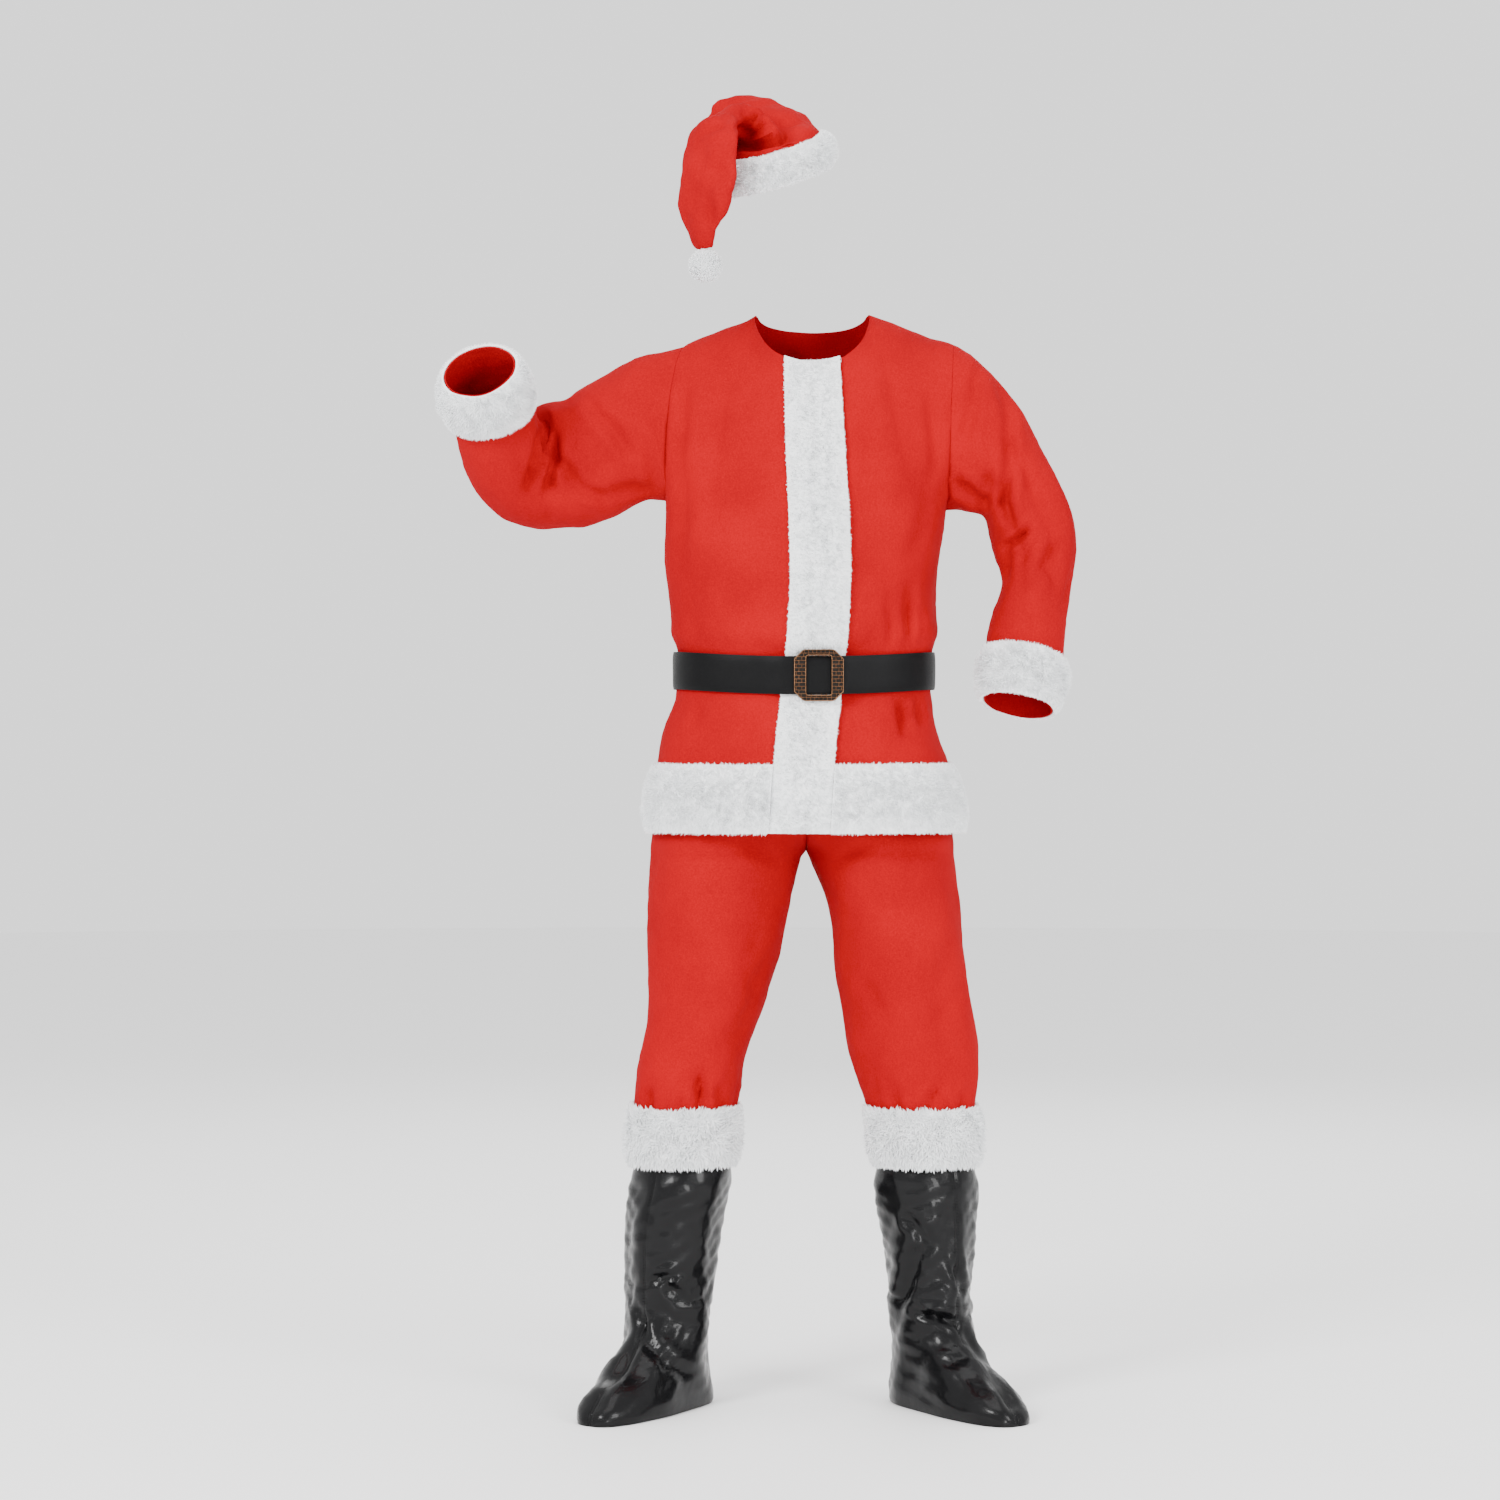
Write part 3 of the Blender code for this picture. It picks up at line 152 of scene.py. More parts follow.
# Right sleeve sections after the armhole: centre, half height across the arm, half depth
RAISED_COLUMNS = ("x", "y", "z", "half_high", "half_deep")
RAISED_SLEEVE = (
    (-0.2230, 0.000, 1.4285, 0.1070, 0.077),
    (-0.2570, 0.000, 1.4180, 0.0980, 0.076),
    (-0.2900, 0.000, 1.4020, 0.0950, 0.075),
    (-0.3200, 0.000, 1.3850, 0.0930, 0.074),
    (-0.3530, -0.001, 1.3780, 0.0930, 0.073),
    (-0.3850, -0.007, 1.3730, 0.0880, 0.071),
    (-0.4110, -0.022, 1.3690, 0.0790, 0.069),
    (-0.4290, -0.050, 1.3810, 0.0700, 0.065),
    (-0.4380, -0.082, 1.4110, 0.0630, 0.060),
    (-0.4460, -0.109, 1.4410, 0.0570, 0.057),
    (-0.4540, -0.137, 1.4680, 0.0540, 0.054),
    (-0.4620, -0.165, 1.4950, 0.0530, 0.053),
)

# Left sleeve sections after the armhole: its outer and inner outline, middle of the depth, half depth
BENT_COLUMNS = ("outer_x", "outer_z", "inner_x", "inner_z", "middle_y", "half_deep")
BENT_SLEEVE = (
    (0.2380, 1.5370, 0.2260, 1.3090, 0.000, 0.0750),
    (0.2620, 1.5140, 0.2440, 1.3065, 0.000, 0.0730),
    (0.2920, 1.4800, 0.2570, 1.3020, 0.002, 0.0710),
    (0.3220, 1.4340, 0.2650, 1.2890, 0.006, 0.0690),
    (0.3470, 1.3880, 0.2695, 1.2680, 0.010, 0.0670),
    (0.3680, 1.3500, 0.2745, 1.2460, 0.012, 0.0650),
    (0.3870, 1.3080, 0.2810, 1.2270, 0.012, 0.0630),
    (0.3935, 1.2600, 0.2850, 1.2080, 0.008, 0.0600),
    (0.3870, 1.2050, 0.2790, 1.1870, -0.004, 0.0570),
    (0.3770, 1.1455, 0.2650, 1.1530, -0.020, 0.0560),
    (0.3690, 1.0890, 0.2575, 1.1100, -0.036, 0.0550),
    (0.3620, 1.0550, 0.2555, 1.0740, -0.047, 0.0530),
    (0.3540, 1.0175, 0.2535, 1.0385, -0.058, 0.0515),
)
CUFF_LENGTH = {"right": 0.080, "left": 0.079}
ELBOW_EASE = 0.055

# Leg sections: height, middle, half width, half depth, middle of the depth
LEG_COLUMNS = ("height", "middle", "half_width", "half_depth", "middle_y")
LEG = {
    "right": (
        (0.372, -0.1790, 0.0735, 0.0760, 0.006),
        (0.435, -0.1770, 0.0740, 0.0770, 0.006),
        (0.457, -0.1740, 0.0780, 0.0810, 0.006),
        (0.479, -0.1704, 0.0805, 0.0840, 0.005),
        (0.522, -0.1624, 0.0800, 0.0850, 0.004),
        (0.587, -0.1440, 0.0850, 0.0890, 0.002),
        (0.653, -0.1349, 0.0943, 0.0960, 0.002),
        (0.740, -0.1254, 0.1035, 0.1060, 0.003),
        (0.812, -0.1150, 0.1105, 0.1160, 0.004),
    ),
    "left": (
        (0.372, 0.1740, 0.0735, 0.0760, 0.004),
        (0.435, 0.1705, 0.0750, 0.0780, 0.004),
        (0.457, 0.1668, 0.0800, 0.0830, 0.004),
        (0.479, 0.1646, 0.0850, 0.0870, 0.003),
        (0.522, 0.1588, 0.0906, 0.0890, 0.002),
        (0.587, 0.1486, 0.0915, 0.0910, 0.001),
        (0.653, 0.1378, 0.0928, 0.0960, 0.002),
        (0.740, 0.1276, 0.0975, 0.1060, 0.003),
        (0.812, 0.1080, 0.1075, 0.1160, 0.004),
    ),
}

# Hip sections above the crotch: height, outer edge of each side, front and back depth, and how far round
# the section the centre seam lies, from a whole half turn at the crotch to a quarter turn at the waist
HIP_COLUMNS = ("height", "right_x", "left_x", "front", "back", "turn")
HIP = (
    (0.812, -0.2255, 0.2155, 0.1120, 0.1200, 1.00),
    (0.840, -0.2235, 0.2140, 0.1200, 0.1270, 0.78),
    (0.880, -0.2170, 0.2080, 0.1250, 0.1300, 0.62),
    (0.930, -0.2060, 0.1990, 0.1260, 0.1280, 0.52),
    (0.985, -0.1980, 0.1850, 0.1240, 0.1230, 0.50),
    (1.040, -0.1830, 0.1760, 0.1155, 0.1150, 0.50),
)
WAISTBAND_TOP = 1.082
CENTRE_X = 0.0
LEG_FUR_TOP = 0.448

# Boot cover sections: height, middle of the leg, reach back and forward along the cover, half width
BOOT_COLUMNS = ("height", "middle", "back", "fore", "half_width", "ease")
BOOT = {
    "right": (
        (0.402, -0.1790, 0.0687, 0.0687, 0.0677, 0.0),
        (0.372, -0.1788, 0.0692, 0.0692, 0.0682, 0.0),
        (0.340, -0.1810, 0.0740, 0.0740, 0.0730, 0.0),
        (0.283, -0.1910, 0.0730, 0.0720, 0.0700, 0.0),
        (0.218, -0.1965, 0.0700, 0.0680, 0.0660, 0.0),
        (0.165, -0.1995, 0.0670, 0.0650, 0.0635, 0.0),
        (0.130, -0.1995, 0.0650, 0.0700, 0.0600, 0.1),
        (0.104, -0.1980, 0.0660, 0.0950, 0.0560, 0.3),
        (0.080, -0.1970, 0.0700, 0.1350, 0.0530, 0.6),
        (0.058, -0.1960, 0.0730, 0.1750, 0.0530, 0.8),
        (0.036, -0.1955, 0.0740, 0.2050, 0.0540, 1.0),
        (0.016, -0.1955, 0.0730, 0.2120, 0.0545, 1.0),
    ),
    "left": (
        (0.402, 0.1735, 0.0685, 0.0685, 0.0675, 0.0),
        (0.372, 0.1738, 0.0690, 0.0690, 0.0680, 0.0),
        (0.340, 0.1733, 0.0745, 0.0745, 0.0740, 0.0),
        (0.283, 0.1769, 0.0720, 0.0710, 0.0690, 0.0),
        (0.218, 0.1805, 0.0690, 0.0670, 0.0640, 0.0),
        (0.165, 0.1810, 0.0670, 0.0650, 0.0620, 0.0),
        (0.130, 0.1815, 0.0650, 0.0700, 0.0600, 0.1),
        (0.104, 0.1820, 0.0660, 0.0950, 0.0560, 0.3),
        (0.080, 0.1825, 0.0700, 0.1350, 0.0530, 0.6),
        (0.058, 0.1830, 0.0730, 0.1750, 0.0530, 0.8),
        (0.036, 0.1835, 0.0740, 0.2050, 0.0540, 1.0),
        (0.016, 0.1835, 0.0730, 0.2120, 0.0545, 1.0),
    ),
}
TOE_OUT = {"right": math.radians(-32), "left": math.radians(32)}
BOOT_MIDDLE_Y = 0.005
BOOT_BLUNT_TOE = 0.25
BOOT_BROAD_TOE = 0.14

# Hat rings, from the lower edge of the crown to its tip: outer point, inner point, half thickness
HAT_COLUMNS = ("outer_x", "outer_y", "outer_z", "inner_x", "inner_y", "inner_z", "half")
HAT = (
    (0.0360, -0.020, 1.810, -0.1310, -0.020, 1.766, 0.1010),
    (0.0300, -0.020, 1.830, -0.1335, -0.020, 1.790, 0.1010),
    (0.0200, -0.020, 1.851, -0.1360, -0.022, 1.813, 0.1000),
    (0.0100, -0.018, 1.869, -0.1345, -0.024, 1.831, 0.0980),
    (-0.0145, -0.018, 1.881, -0.1240, -0.028, 1.840, 0.0900),
    (-0.0580, -0.022, 1.884, -0.1100, -0.040, 1.843, 0.0770),
    (-0.0990, -0.034, 1.872, -0.1000, -0.060, 1.842, 0.0560),
    (-0.1360, -0.060, 1.857, -0.0955, -0.112, 1.848, 0.0260),
    (-0.1620, -0.086, 1.838, -0.0975, -0.152, 1.836, 0.0190),
    (-0.1745, -0.092, 1.804, -0.1010, -0.168, 1.804, 0.0170),
    (-0.1795, -0.095, 1.762, -0.1055, -0.172, 1.764, 0.0150),
    (-0.1770, -0.095, 1.726, -0.1150, -0.164, 1.727, 0.0150),
    (-0.1680, -0.104, 1.696, -0.1290, -0.152, 1.695, 0.0120),
    (-0.1560, -0.114, 1.674, -0.1350, -0.134, 1.673, 0.0070),
)
HAT_TILT = math.radians(17)
POMPOM_CENTRE = (-0.1450, -0.124, 1.6495)
POMPOM_RADIUS = 0.0240
POMPOM_CORE = 0.80
POMPOM_COLUMNS = 37
POMPOM_ROWS = 19

BUCKLE_CENTRE_X = 0.016
BUCKLE_WIDTH = 0.070
BUCKLE_HEIGHT = 0.073
BUCKLE_THICKNESS = 0.005
BUCKLE_CORNER = 0.013
BUCKLE_WINDOW = (0.036, 0.056, 0.002)
CROSS_BAR_SHARES = ((0.0, 0.24, 0.48, 0.72), (0.12, 0.36, 0.60, 0.84))

# Folds: where on a tube (turn, from 0 to 1), how far along (0 to 1), half widths of each, and the depth
FOLD_COLUMNS = ("turn", "along", "turn_width", "along_width", "slant", "depth")
SLEEVE_FOLDS = {
    "right": (
        (0.18, 0.52, 0.050, 0.20, -0.10, -0.0100),
        (0.30, 0.60, 0.045, 0.16, 0.16, -0.0080),
        (0.38, 0.40, 0.040, 0.26, 0.04, 0.0050),
        (0.80, 0.56, 0.050, 0.20, 0.10, -0.0080),
    ),
    "left": (
        (0.16, 0.30, 0.040, 0.30, 0.06, -0.0060),
        (0.28, 0.26, 0.045, 0.28, 0.10, -0.0070),
        (0.33, 0.58, 0.050, 0.12, 0.20, -0.0080),
        (0.40, 0.50, 0.040, 0.16, -0.10, 0.0050),
        (0.78, 0.55, 0.050, 0.16, 0.10, -0.0070),
    ),
}

# Folds of a front panel: where, half widths, how far it leans off upright, and how deep it lies
FRONT_FOLD_COLUMNS = ("x", "height", "half_width", "half_height", "lean", "depth")
JACKET_FOLDS = (
    (0.137, 1.005, 0.021, 0.034, 0.00, 0.0070),
    (0.140, 1.150, 0.022, 0.036, 0.05, 0.0070),
    (0.096, 1.125, 0.024, 0.022, 0.10, 0.0040),
    (-0.150, 1.140, 0.026, 0.036, -0.10, 0.0060),
    (-0.135, 1.000, 0.030, 0.040, 0.10, 0.0040),
)
LEG_FOLDS = (
    (-0.078, 0.665, 0.027, 0.060, 0.10, 0.0070),
    (-0.086, 0.562, 0.032, 0.026, 0.60, 0.0080),
    (-0.153, 0.484, 0.023, 0.025, 0.00, 0.0085),
    (-0.215, 0.480, 0.022, 0.022, 0.20, 0.0060),
    (0.180, 0.486, 0.026, 0.022, 0.60, 0.0065),
    (0.205, 0.620, 0.030, 0.070, 0.10, 0.0050),
)

UNDERLAP_DROP = 0.0036
UNDERLAP_FADE = (0.20, 0.25)

# How finely the cloth is meshed: rows and columns of its grids
LINE_POINTS = 241
UPPER_ROWS = 34
LAP_STEPS = tuple(np.linspace(0.0, UNDERLAP, 7))
BAND_STEPS = tuple(np.linspace(0.0, FRONT_FUR_WIDTH - UNDERLAP, 8))
NECK_COLUMNS = 14
SHOULDER_COLUMNS = 14
BACK_NECK_COLUMNS = 16
BACK_COLUMNS = BACK_NECK_COLUMNS + SHOULDER_COLUMNS
HEM_HEIGHTS = tuple(np.linspace(JACKET[0][0], HEM_FUR_TOP, 17))
BODY_HEIGHTS = HEM_HEIGHTS + tuple(np.linspace(HEM_FUR_TOP, ARMPIT, 56)[1:])
SLEEVE_RINGS = 76
LEG_COLUMNS_ACROSS = 36
LEG_HEIGHTS = tuple(np.linspace(0.366, LEG_FUR_TOP, 14)) + tuple(np.linspace(LEG_FUR_TOP, 1.040, 88)[1:])
WAIST_HEIGHTS = tuple(np.linspace(1.040, WAISTBAND_TOP, 7))
BOOT_RING = 72
BOOT_HEIGHTS = tuple(np.linspace(0.016, 0.392, 72))
HAT_RINGS = 97
HAT_ROUND = 72
HAT_BAND_RINGS = 13
HAT_TILT_SHARES = (4 / 24, 10 / 24)
BELT_ROUND = 240

# A lock of pile: its corners are its root's three, then, where it is bent, its waist's three, and its tip
LOCK_FACES = ((0, 2, 1), (0, 1, 3), (1, 2, 3), (2, 0, 3))
BENT_LOCK_FACES = (
    (0, 2, 1), (0, 1, 4), (0, 4, 3), (1, 2, 5), (1, 5, 4),
    (2, 0, 3), (2, 3, 5), (3, 4, 6), (4, 5, 6), (5, 3, 6),
)

# Finer folds, in the columns of the ones above
FINE_JACKET_FOLDS = (
    (0.137, 1.015, 0.0060, 0.026, 0.00, 0.0060),
    (0.166, 1.020, 0.0060, 0.018, 0.00, 0.0040),
    (0.142, 1.150, 0.0080, 0.034, 0.06, 0.0045),
    (0.093, 1.120, 0.0100, 0.018, 0.30, 0.0035),
    (0.118, 1.135, 0.0070, 0.026, 0.10, 0.0030),
    (-0.160, 1.130, 0.0080, 0.026, -0.20, 0.0030),
    (-0.182, 1.350, 0.0080, 0.090, -0.05, 0.0040),
    (0.170, 1.330, 0.0100, 0.060, 0.30, 0.0035),
)
FINE_LEG_FOLDS = (
    (-0.153, 0.478, 0.0070, 0.024, 0.05, 0.0060),
    (-0.2235, 0.470, 0.0070, 0.017, 0.30, 0.0050),
    (-0.1135, 0.484, 0.0075, 0.022, 0.10, 0.0035),
    (0.182, 0.474, 0.0080, 0.018, 0.90, 0.0055),
    (0.215, 0.478, 0.0070, 0.014, 0.20, 0.0030),
    (-0.086, 0.566, 0.0120, 0.012, 1.10, 0.0030),
    (-0.078, 0.655, 0.0110, 0.060, 0.15, 0.0025),
    (0.196, 0.640, 0.0120, 0.080, 0.12, 0.0025),
)
FINE_SLEEVE_FOLDS = {
    "right": (
        (0.24, 0.56, 0.020, 0.090, -0.20, -0.0055),
        (0.18, 0.47, 0.018, 0.100, 0.30, -0.0040),
        (0.32, 0.68, 0.020, 0.060, 0.25, -0.0045),
        (0.14, 0.63, 0.025, 0.050, -0.20, -0.0045),
        (0.10, 0.14, 0.022, 0.110, 0.30, -0.0040),
        (0.20, 0.22, 0.020, 0.150, -0.20, -0.0030),
        (0.72, 0.50, 0.022, 0.120, 0.20, -0.0045),
        (0.86, 0.60, 0.022, 0.070, -0.30, -0.0040),
        (0.94, 0.20, 0.022, 0.120, -0.20, -0.0035),
    ),
    "left": (
        (0.17, 0.28, 0.016, 0.200, 0.06, -0.0035),
        (0.29, 0.27, 0.017, 0.210, 0.09, -0.0040),
        (0.30, 0.62, 0.022, 0.032, 0.80, -0.0055),
        (0.42, 0.67, 0.020, 0.050, -0.40, -0.0045),
        (0.10, 0.58, 0.024, 0.050, 0.30, -0.0045),
        (0.24, 0.80, 0.030, 0.030, 0.30, -0.0030),
        (0.70, 0.50, 0.022, 0.120, 0.10, -0.0045),
        (0.84, 0.64, 0.022, 0.060, -0.30, -0.0040),
        (0.94, 0.20, 0.022, 0.120, -0.10, -0.0035),
    ),
}
# Creases, each from one place to another: x and height of both, width and depth
CREASE_COLUMNS = ("x0", "height0", "x1", "height1", "width", "depth")
JACKET_CREASES = (
    (-0.3735, 1.4297, -0.3973, 1.3347, 0.0065, 0.0120),
    (-0.3590, 1.4260, -0.3698, 1.3347, 0.0065, 0.0080),
    (-0.3661, 1.3950, -0.3260, 1.3384, 0.0075, 0.0070),
    (-0.3300, 1.3420, -0.2784, 1.3180, 0.0070, 0.0070),
    (-0.3180, 1.4720, -0.2494, 1.3785, 0.0080, 0.0060),
    (-0.2803, 1.4400, -0.2421, 1.3785, 0.0080, 0.0045),
    (-0.2420, 1.4180, -0.2127, 1.3400, 0.0080, 0.0045),
    (-0.3000, 1.3300, -0.2150, 1.3450, 0.0070, 0.0040),
    (0.2484, 1.5189, 0.2239, 1.3966, 0.0080, 0.0060),
    (0.2770, 1.4986, 0.2912, 1.4300, 0.0085, 0.0060),
    (0.2912, 1.4450, 0.2851, 1.3100, 0.0080, 0.0085),
    (0.2800, 1.3300, 0.2932, 1.2880, 0.0070, 0.0070),
    (0.2100, 1.3520, 0.2600, 1.3140, 0.0075, 0.0110),
    (0.2586, 1.3620, 0.2606, 1.3100, 0.0070, 0.0060),
    (0.3230, 1.2830, 0.2870, 1.2560, 0.0055, 0.0090),
    (0.2892, 1.2640, 0.2895, 1.2150, 0.0065, 0.0060),
    (0.3584, 1.2620, 0.3277, 1.2100, 0.0080, 0.0055),
    (0.1485, 1.2050, 0.1465, 1.0950, 0.0060, 0.0055),
    (0.1160, 1.1850, 0.1182, 1.0950, 0.0060, 0.0040),
    (0.1640, 1.1700, 0.1630, 1.1000, 0.0055, 0.0040),
    (0.1276, 1.0500, 0.1398, 0.9821, 0.0060, 0.0060),
    (0.1540, 1.0550, 0.1601, 1.0000, 0.0060, 0.0060),
    (0.0930, 1.0500, 0.0960, 1.0050, 0.0060, 0.0030),
    (-0.1500, 1.0500, -0.1620, 0.9950, 0.0070, 0.0035),
    (-0.1720, 1.4900, -0.1860, 1.3700, 0.0080, 0.0045),
    (-0.1780, 1.3500, -0.1830, 1.2000, 0.0090, 0.0035),
    (0.1750, 1.4700, 0.1850, 1.3600, 0.0080, 0.0045),
    (0.1850, 1.3300, 0.1500, 1.2400, 0.0090, 0.0035),
)
LEG_CREASES = (
    (-0.1533, 0.5000, -0.1490, 0.4350, 0.0060, 0.0075),
    (-0.2285, 0.4800, -0.2224, 0.4350, 0.0055, 0.0065),
    (-0.1250, 0.4850, -0.1190, 0.4400, 0.0055, 0.0050),
    (-0.1800, 0.4700, -0.1760, 0.4350, 0.0050, 0.0040),
    (0.1920, 0.4780, 0.1640, 0.4420, 0.0060, 0.0070),
    (0.2280, 0.4750, 0.2200, 0.4400, 0.0055, 0.0050),
    (0.1250, 0.4700, 0.1330, 0.4380, 0.0055, 0.0040),
    (-0.0500, 0.6700, -0.0800, 0.6150, 0.0090, 0.0040),
    (-0.0620, 0.6250, -0.0950, 0.5700, 0.0090, 0.0035),
    (0.0700, 0.6400, 0.1050, 0.5900, 0.0090, 0.0030),
    (0.2180, 0.6200, 0.1900, 0.5700, 0.0090, 0.0030),
    (-0.0350, 0.8000, -0.0900, 0.8300, 0.0090, 0.0035),
    (0.0350, 0.8000, 0.0950, 0.8350, 0.0090, 0.0035),
)
HAT_CREASES = (
    (-0.0610, 1.8790, -0.0977, 1.8400, 0.0050, 0.0070),
    (-0.0480, 1.8580, -0.0920, 1.8385, 0.0055, 0.0085),
    (-0.0100, 1.8680, -0.0450, 1.8620, 0.0060, 0.0040),
    (-0.1500, 1.8350, -0.1180, 1.8480, 0.0060, 0.0045),
    (-0.1450, 1.7600, -0.1380, 1.7000, 0.0090, 0.0040),
)
BOOT_CREASES = (
    (-0.2385, 0.1260, -0.1645, 0.0605, 0.0070, 0.0060),
    (-0.2224, 0.2050, -0.1850, 0.2120, 0.0050, 0.0060),
    (-0.2100, 0.2000, -0.1700, 0.1750, 0.0070, 0.0050),
    (-0.2390, 0.1180, -0.2900, 0.0600, 0.0060, 0.0050),
    (-0.2000, 0.1000, -0.2050, 0.0400, 0.0070, 0.0040),
    (-0.2450, 0.1700, -0.2300, 0.1200, 0.0060, 0.0050),
    (0.1400, 0.3020, 0.1700, 0.2594, 0.0070, 0.0060),
    (0.1700, 0.2660, 0.1270, 0.1500, 0.0075, 0.0070),
    (0.1500, 0.1600, 0.2200, 0.1420, 0.0055, 0.0075),
    (0.2250, 0.1350, 0.2950, 0.0400, 0.0060, 0.0065),
    (0.1963, 0.0880, 0.2300, 0.1010, 0.0050, 0.0050),
    (0.2126, 0.2300, 0.2300, 0.1750, 0.0060, 0.0060),
    (0.2000, 0.3100, 0.2060, 0.2300, 0.0070, 0.0040),
)
# Creases on the back, which are guessed
JACKET_BACK_CREASES = (
    (-0.1750, 1.4500, -0.1500, 1.3500, 0.0080, 0.0050),
    (-0.1500, 1.3600, -0.1150, 1.2700, 0.0090, 0.0040),
    (0.1780, 1.4400, 0.1450, 1.3500, 0.0080, 0.0050),
    (0.1400, 1.3700, 0.1000, 1.2900, 0.0090, 0.0035),
    (-0.1300, 1.1900, -0.1240, 1.1000, 0.0060, 0.0050),
    (-0.0700, 1.1700, -0.0680, 1.1000, 0.0060, 0.0040),
    (0.0150, 1.1800, 0.0200, 1.1000, 0.0060, 0.0045),
    (0.0850, 1.1700, 0.0830, 1.1000, 0.0060, 0.0045),
    (0.1450, 1.1850, 0.1400, 1.1000, 0.0060, 0.0040),
    (-0.1000, 1.0500, -0.1080, 0.9950, 0.0060, 0.0040),
    (0.0500, 1.0500, 0.0540, 1.0000, 0.0060, 0.0040),
    (0.1300, 1.0500, 0.1400, 0.9900, 0.0060, 0.0045),
    (-0.3300, 1.4400, -0.3000, 1.3600, 0.0080, 0.0055),
    (-0.2700, 1.4300, -0.2350, 1.3500, 0.0080, 0.0050),
    (-0.3900, 1.4200, -0.3700, 1.3400, 0.0080, 0.0050),
    (0.2450, 1.4500, 0.2300, 1.3600, 0.0080, 0.0050),
    (0.3000, 1.3300, 0.3400, 1.2900, 0.0075, 0.0055),
    (0.3050, 1.2800, 0.3450, 1.2550, 0.0075, 0.0050),
    (0.3000, 1.2200, 0.3300, 1.1800, 0.0080, 0.0040),
)
LEG_BACK_CREASES = (
    (-0.1900, 0.6500, -0.1200, 0.6200, 0.0080, 0.0045),
    (-0.1850, 0.6100, -0.1300, 0.5850, 0.0080, 0.0045),
    (-0.1900, 0.5700, -0.1400, 0.5500, 0.0080, 0.0035),
    (0.1150, 0.6300, 0.1850, 0.6500, 0.0080, 0.0045),
    (0.1250, 0.5900, 0.1850, 0.6050, 0.0080, 0.0045),
    (-0.0400, 0.8250, -0.1300, 0.8500, 0.0090, 0.0045),
    (0.0400, 0.8250, 0.1200, 0.8550, 0.0090, 0.0045),
    (-0.1700, 0.4900, -0.1660, 0.4350, 0.0060, 0.0060),
    (-0.2150, 0.4800, -0.2100, 0.4350, 0.0055, 0.0050),
    (0.1500, 0.4900, 0.1560, 0.4380, 0.0060, 0.0060),
    (0.2050, 0.4800, 0.2000, 0.4380, 0.0055, 0.0050),
)


def named(table: Sequence[Sequence[float]], columns: Sequence[str], name: str) -> Grid:
    """Read one column of a table."""
    return np.array([row[columns.index(name)] for row in table], float)


def smooth(at: float | Grid, knots: Sequence[float], values: Sequence[float]) -> Grid:
    """Read a smooth curve through values at knots.

    Args:
        at: One place or many.
        knots: Where the values are given, in rising or falling order.
        values: The values there.

    Returns:
        The curve's value at each place.
    """
    knots = np.asarray(knots, float)
    values = np.asarray(values, float)
    if knots[0] > knots[-1]:
        knots, values = knots[::-1], values[::-1]
    slope = np.gradient(values, knots)
    at = np.clip(at, knots[0], knots[-1])
    i = np.clip(np.searchsorted(knots, at) - 1, 0, len(knots) - 2)
    span = knots[i + 1] - knots[i]
    s = (at - knots[i]) / span
    return (
        (2 * s**3 - 3 * s**2 + 1) * values[i]
        + (s**3 - 2 * s**2 + s) * span * slope[i]
        + (3 * s**2 - 2 * s**3) * values[i + 1]
        + (s**3 - s**2) * span * slope[i + 1]
    )


def by_height(table: Sequence[Sequence[float]], columns: Sequence[str], name: str, height: float) -> Grid:
    """Read a named column of a table at a height."""
    return smooth(height, named(table, columns, columns[0]), named(table, columns, name))


def runs(line: Grid) -> Grid:
    """Measure how far along a polyline each of its points lies."""
    steps = np.linalg.norm(np.diff(np.asarray(line, float), axis=0), axis=1)
    return np.concatenate([[0.0], np.cumsum(steps)])


def at_lengths(line: Grid, steps: Grid) -> Grid:
    """Find points at distances along a polyline.

    Args:
        line: Its points.
        steps: The distances.

    Returns:
        One point for each distance.
    """
    line = np.asarray(line, float)
    length = runs(line)
    return np.stack([np.interp(steps, length, line[:, k]) for k in range(3)], axis=1)


def resampled(line: Grid, count: int) -> Grid:
    """Space points evenly along a polyline."""
    return at_lengths(line, np.linspace(0, runs(line)[-1], count))


def power(value: Grid, exponent: float) -> Grid:
    """Raise to a power and keep the sign, for the sides of a superellipse."""
    return np.sign(value) * np.abs(value) ** exponent


def unit(vector: Grid) -> Grid:
    """Scale vectors to length one."""
    vector = np.asarray(vector, float)
    return vector / np.maximum(np.linalg.norm(vector, axis=-1, keepdims=True), 1e-12)


def smoothstep(value: Grid) -> Grid:
    """Step softly from 0 to 1."""
    value = np.clip(value, 0.0, 1.0)
    return value * value * (3 - 2 * value)


def turned(corners: Sequence[int]) -> list[int]:
    """Turn a quad round, so that it faces the other way."""
    return [corners[0], corners[3], corners[2], corners[1]]


def ripple(points: Grid, length: float, seed: int, stretch: Sequence[float] = (1.0, 1.0, 1.0)) -> Grid:
    """Make a smooth, irregular field of waves in space.

    Args:
        points: Where to read it.
        length: The waves' usual length, in metres.
        seed: Which field.
        stretch: How much longer the waves are along each axis.

    Returns:
        A value from about -1 to 1 at each point.
    """
    rng = np.random.default_rng(seed)
    scaled = np.asarray(points, float) / np.asarray(stretch, float)
    total = np.zeros(scaled.shape[:-1])
    for _ in range(9):
        way = unit(rng.normal(size=3)) * math.tau / length * rng.uniform(0.6, 1.6)
        bend = unit(rng.normal(size=3)) * math.tau / length * 0.5
        total = total + np.sin(scaled @ way + rng.uniform(0, math.tau) + 0.8 * np.sin(scaled @ bend))
    return total / 3.2


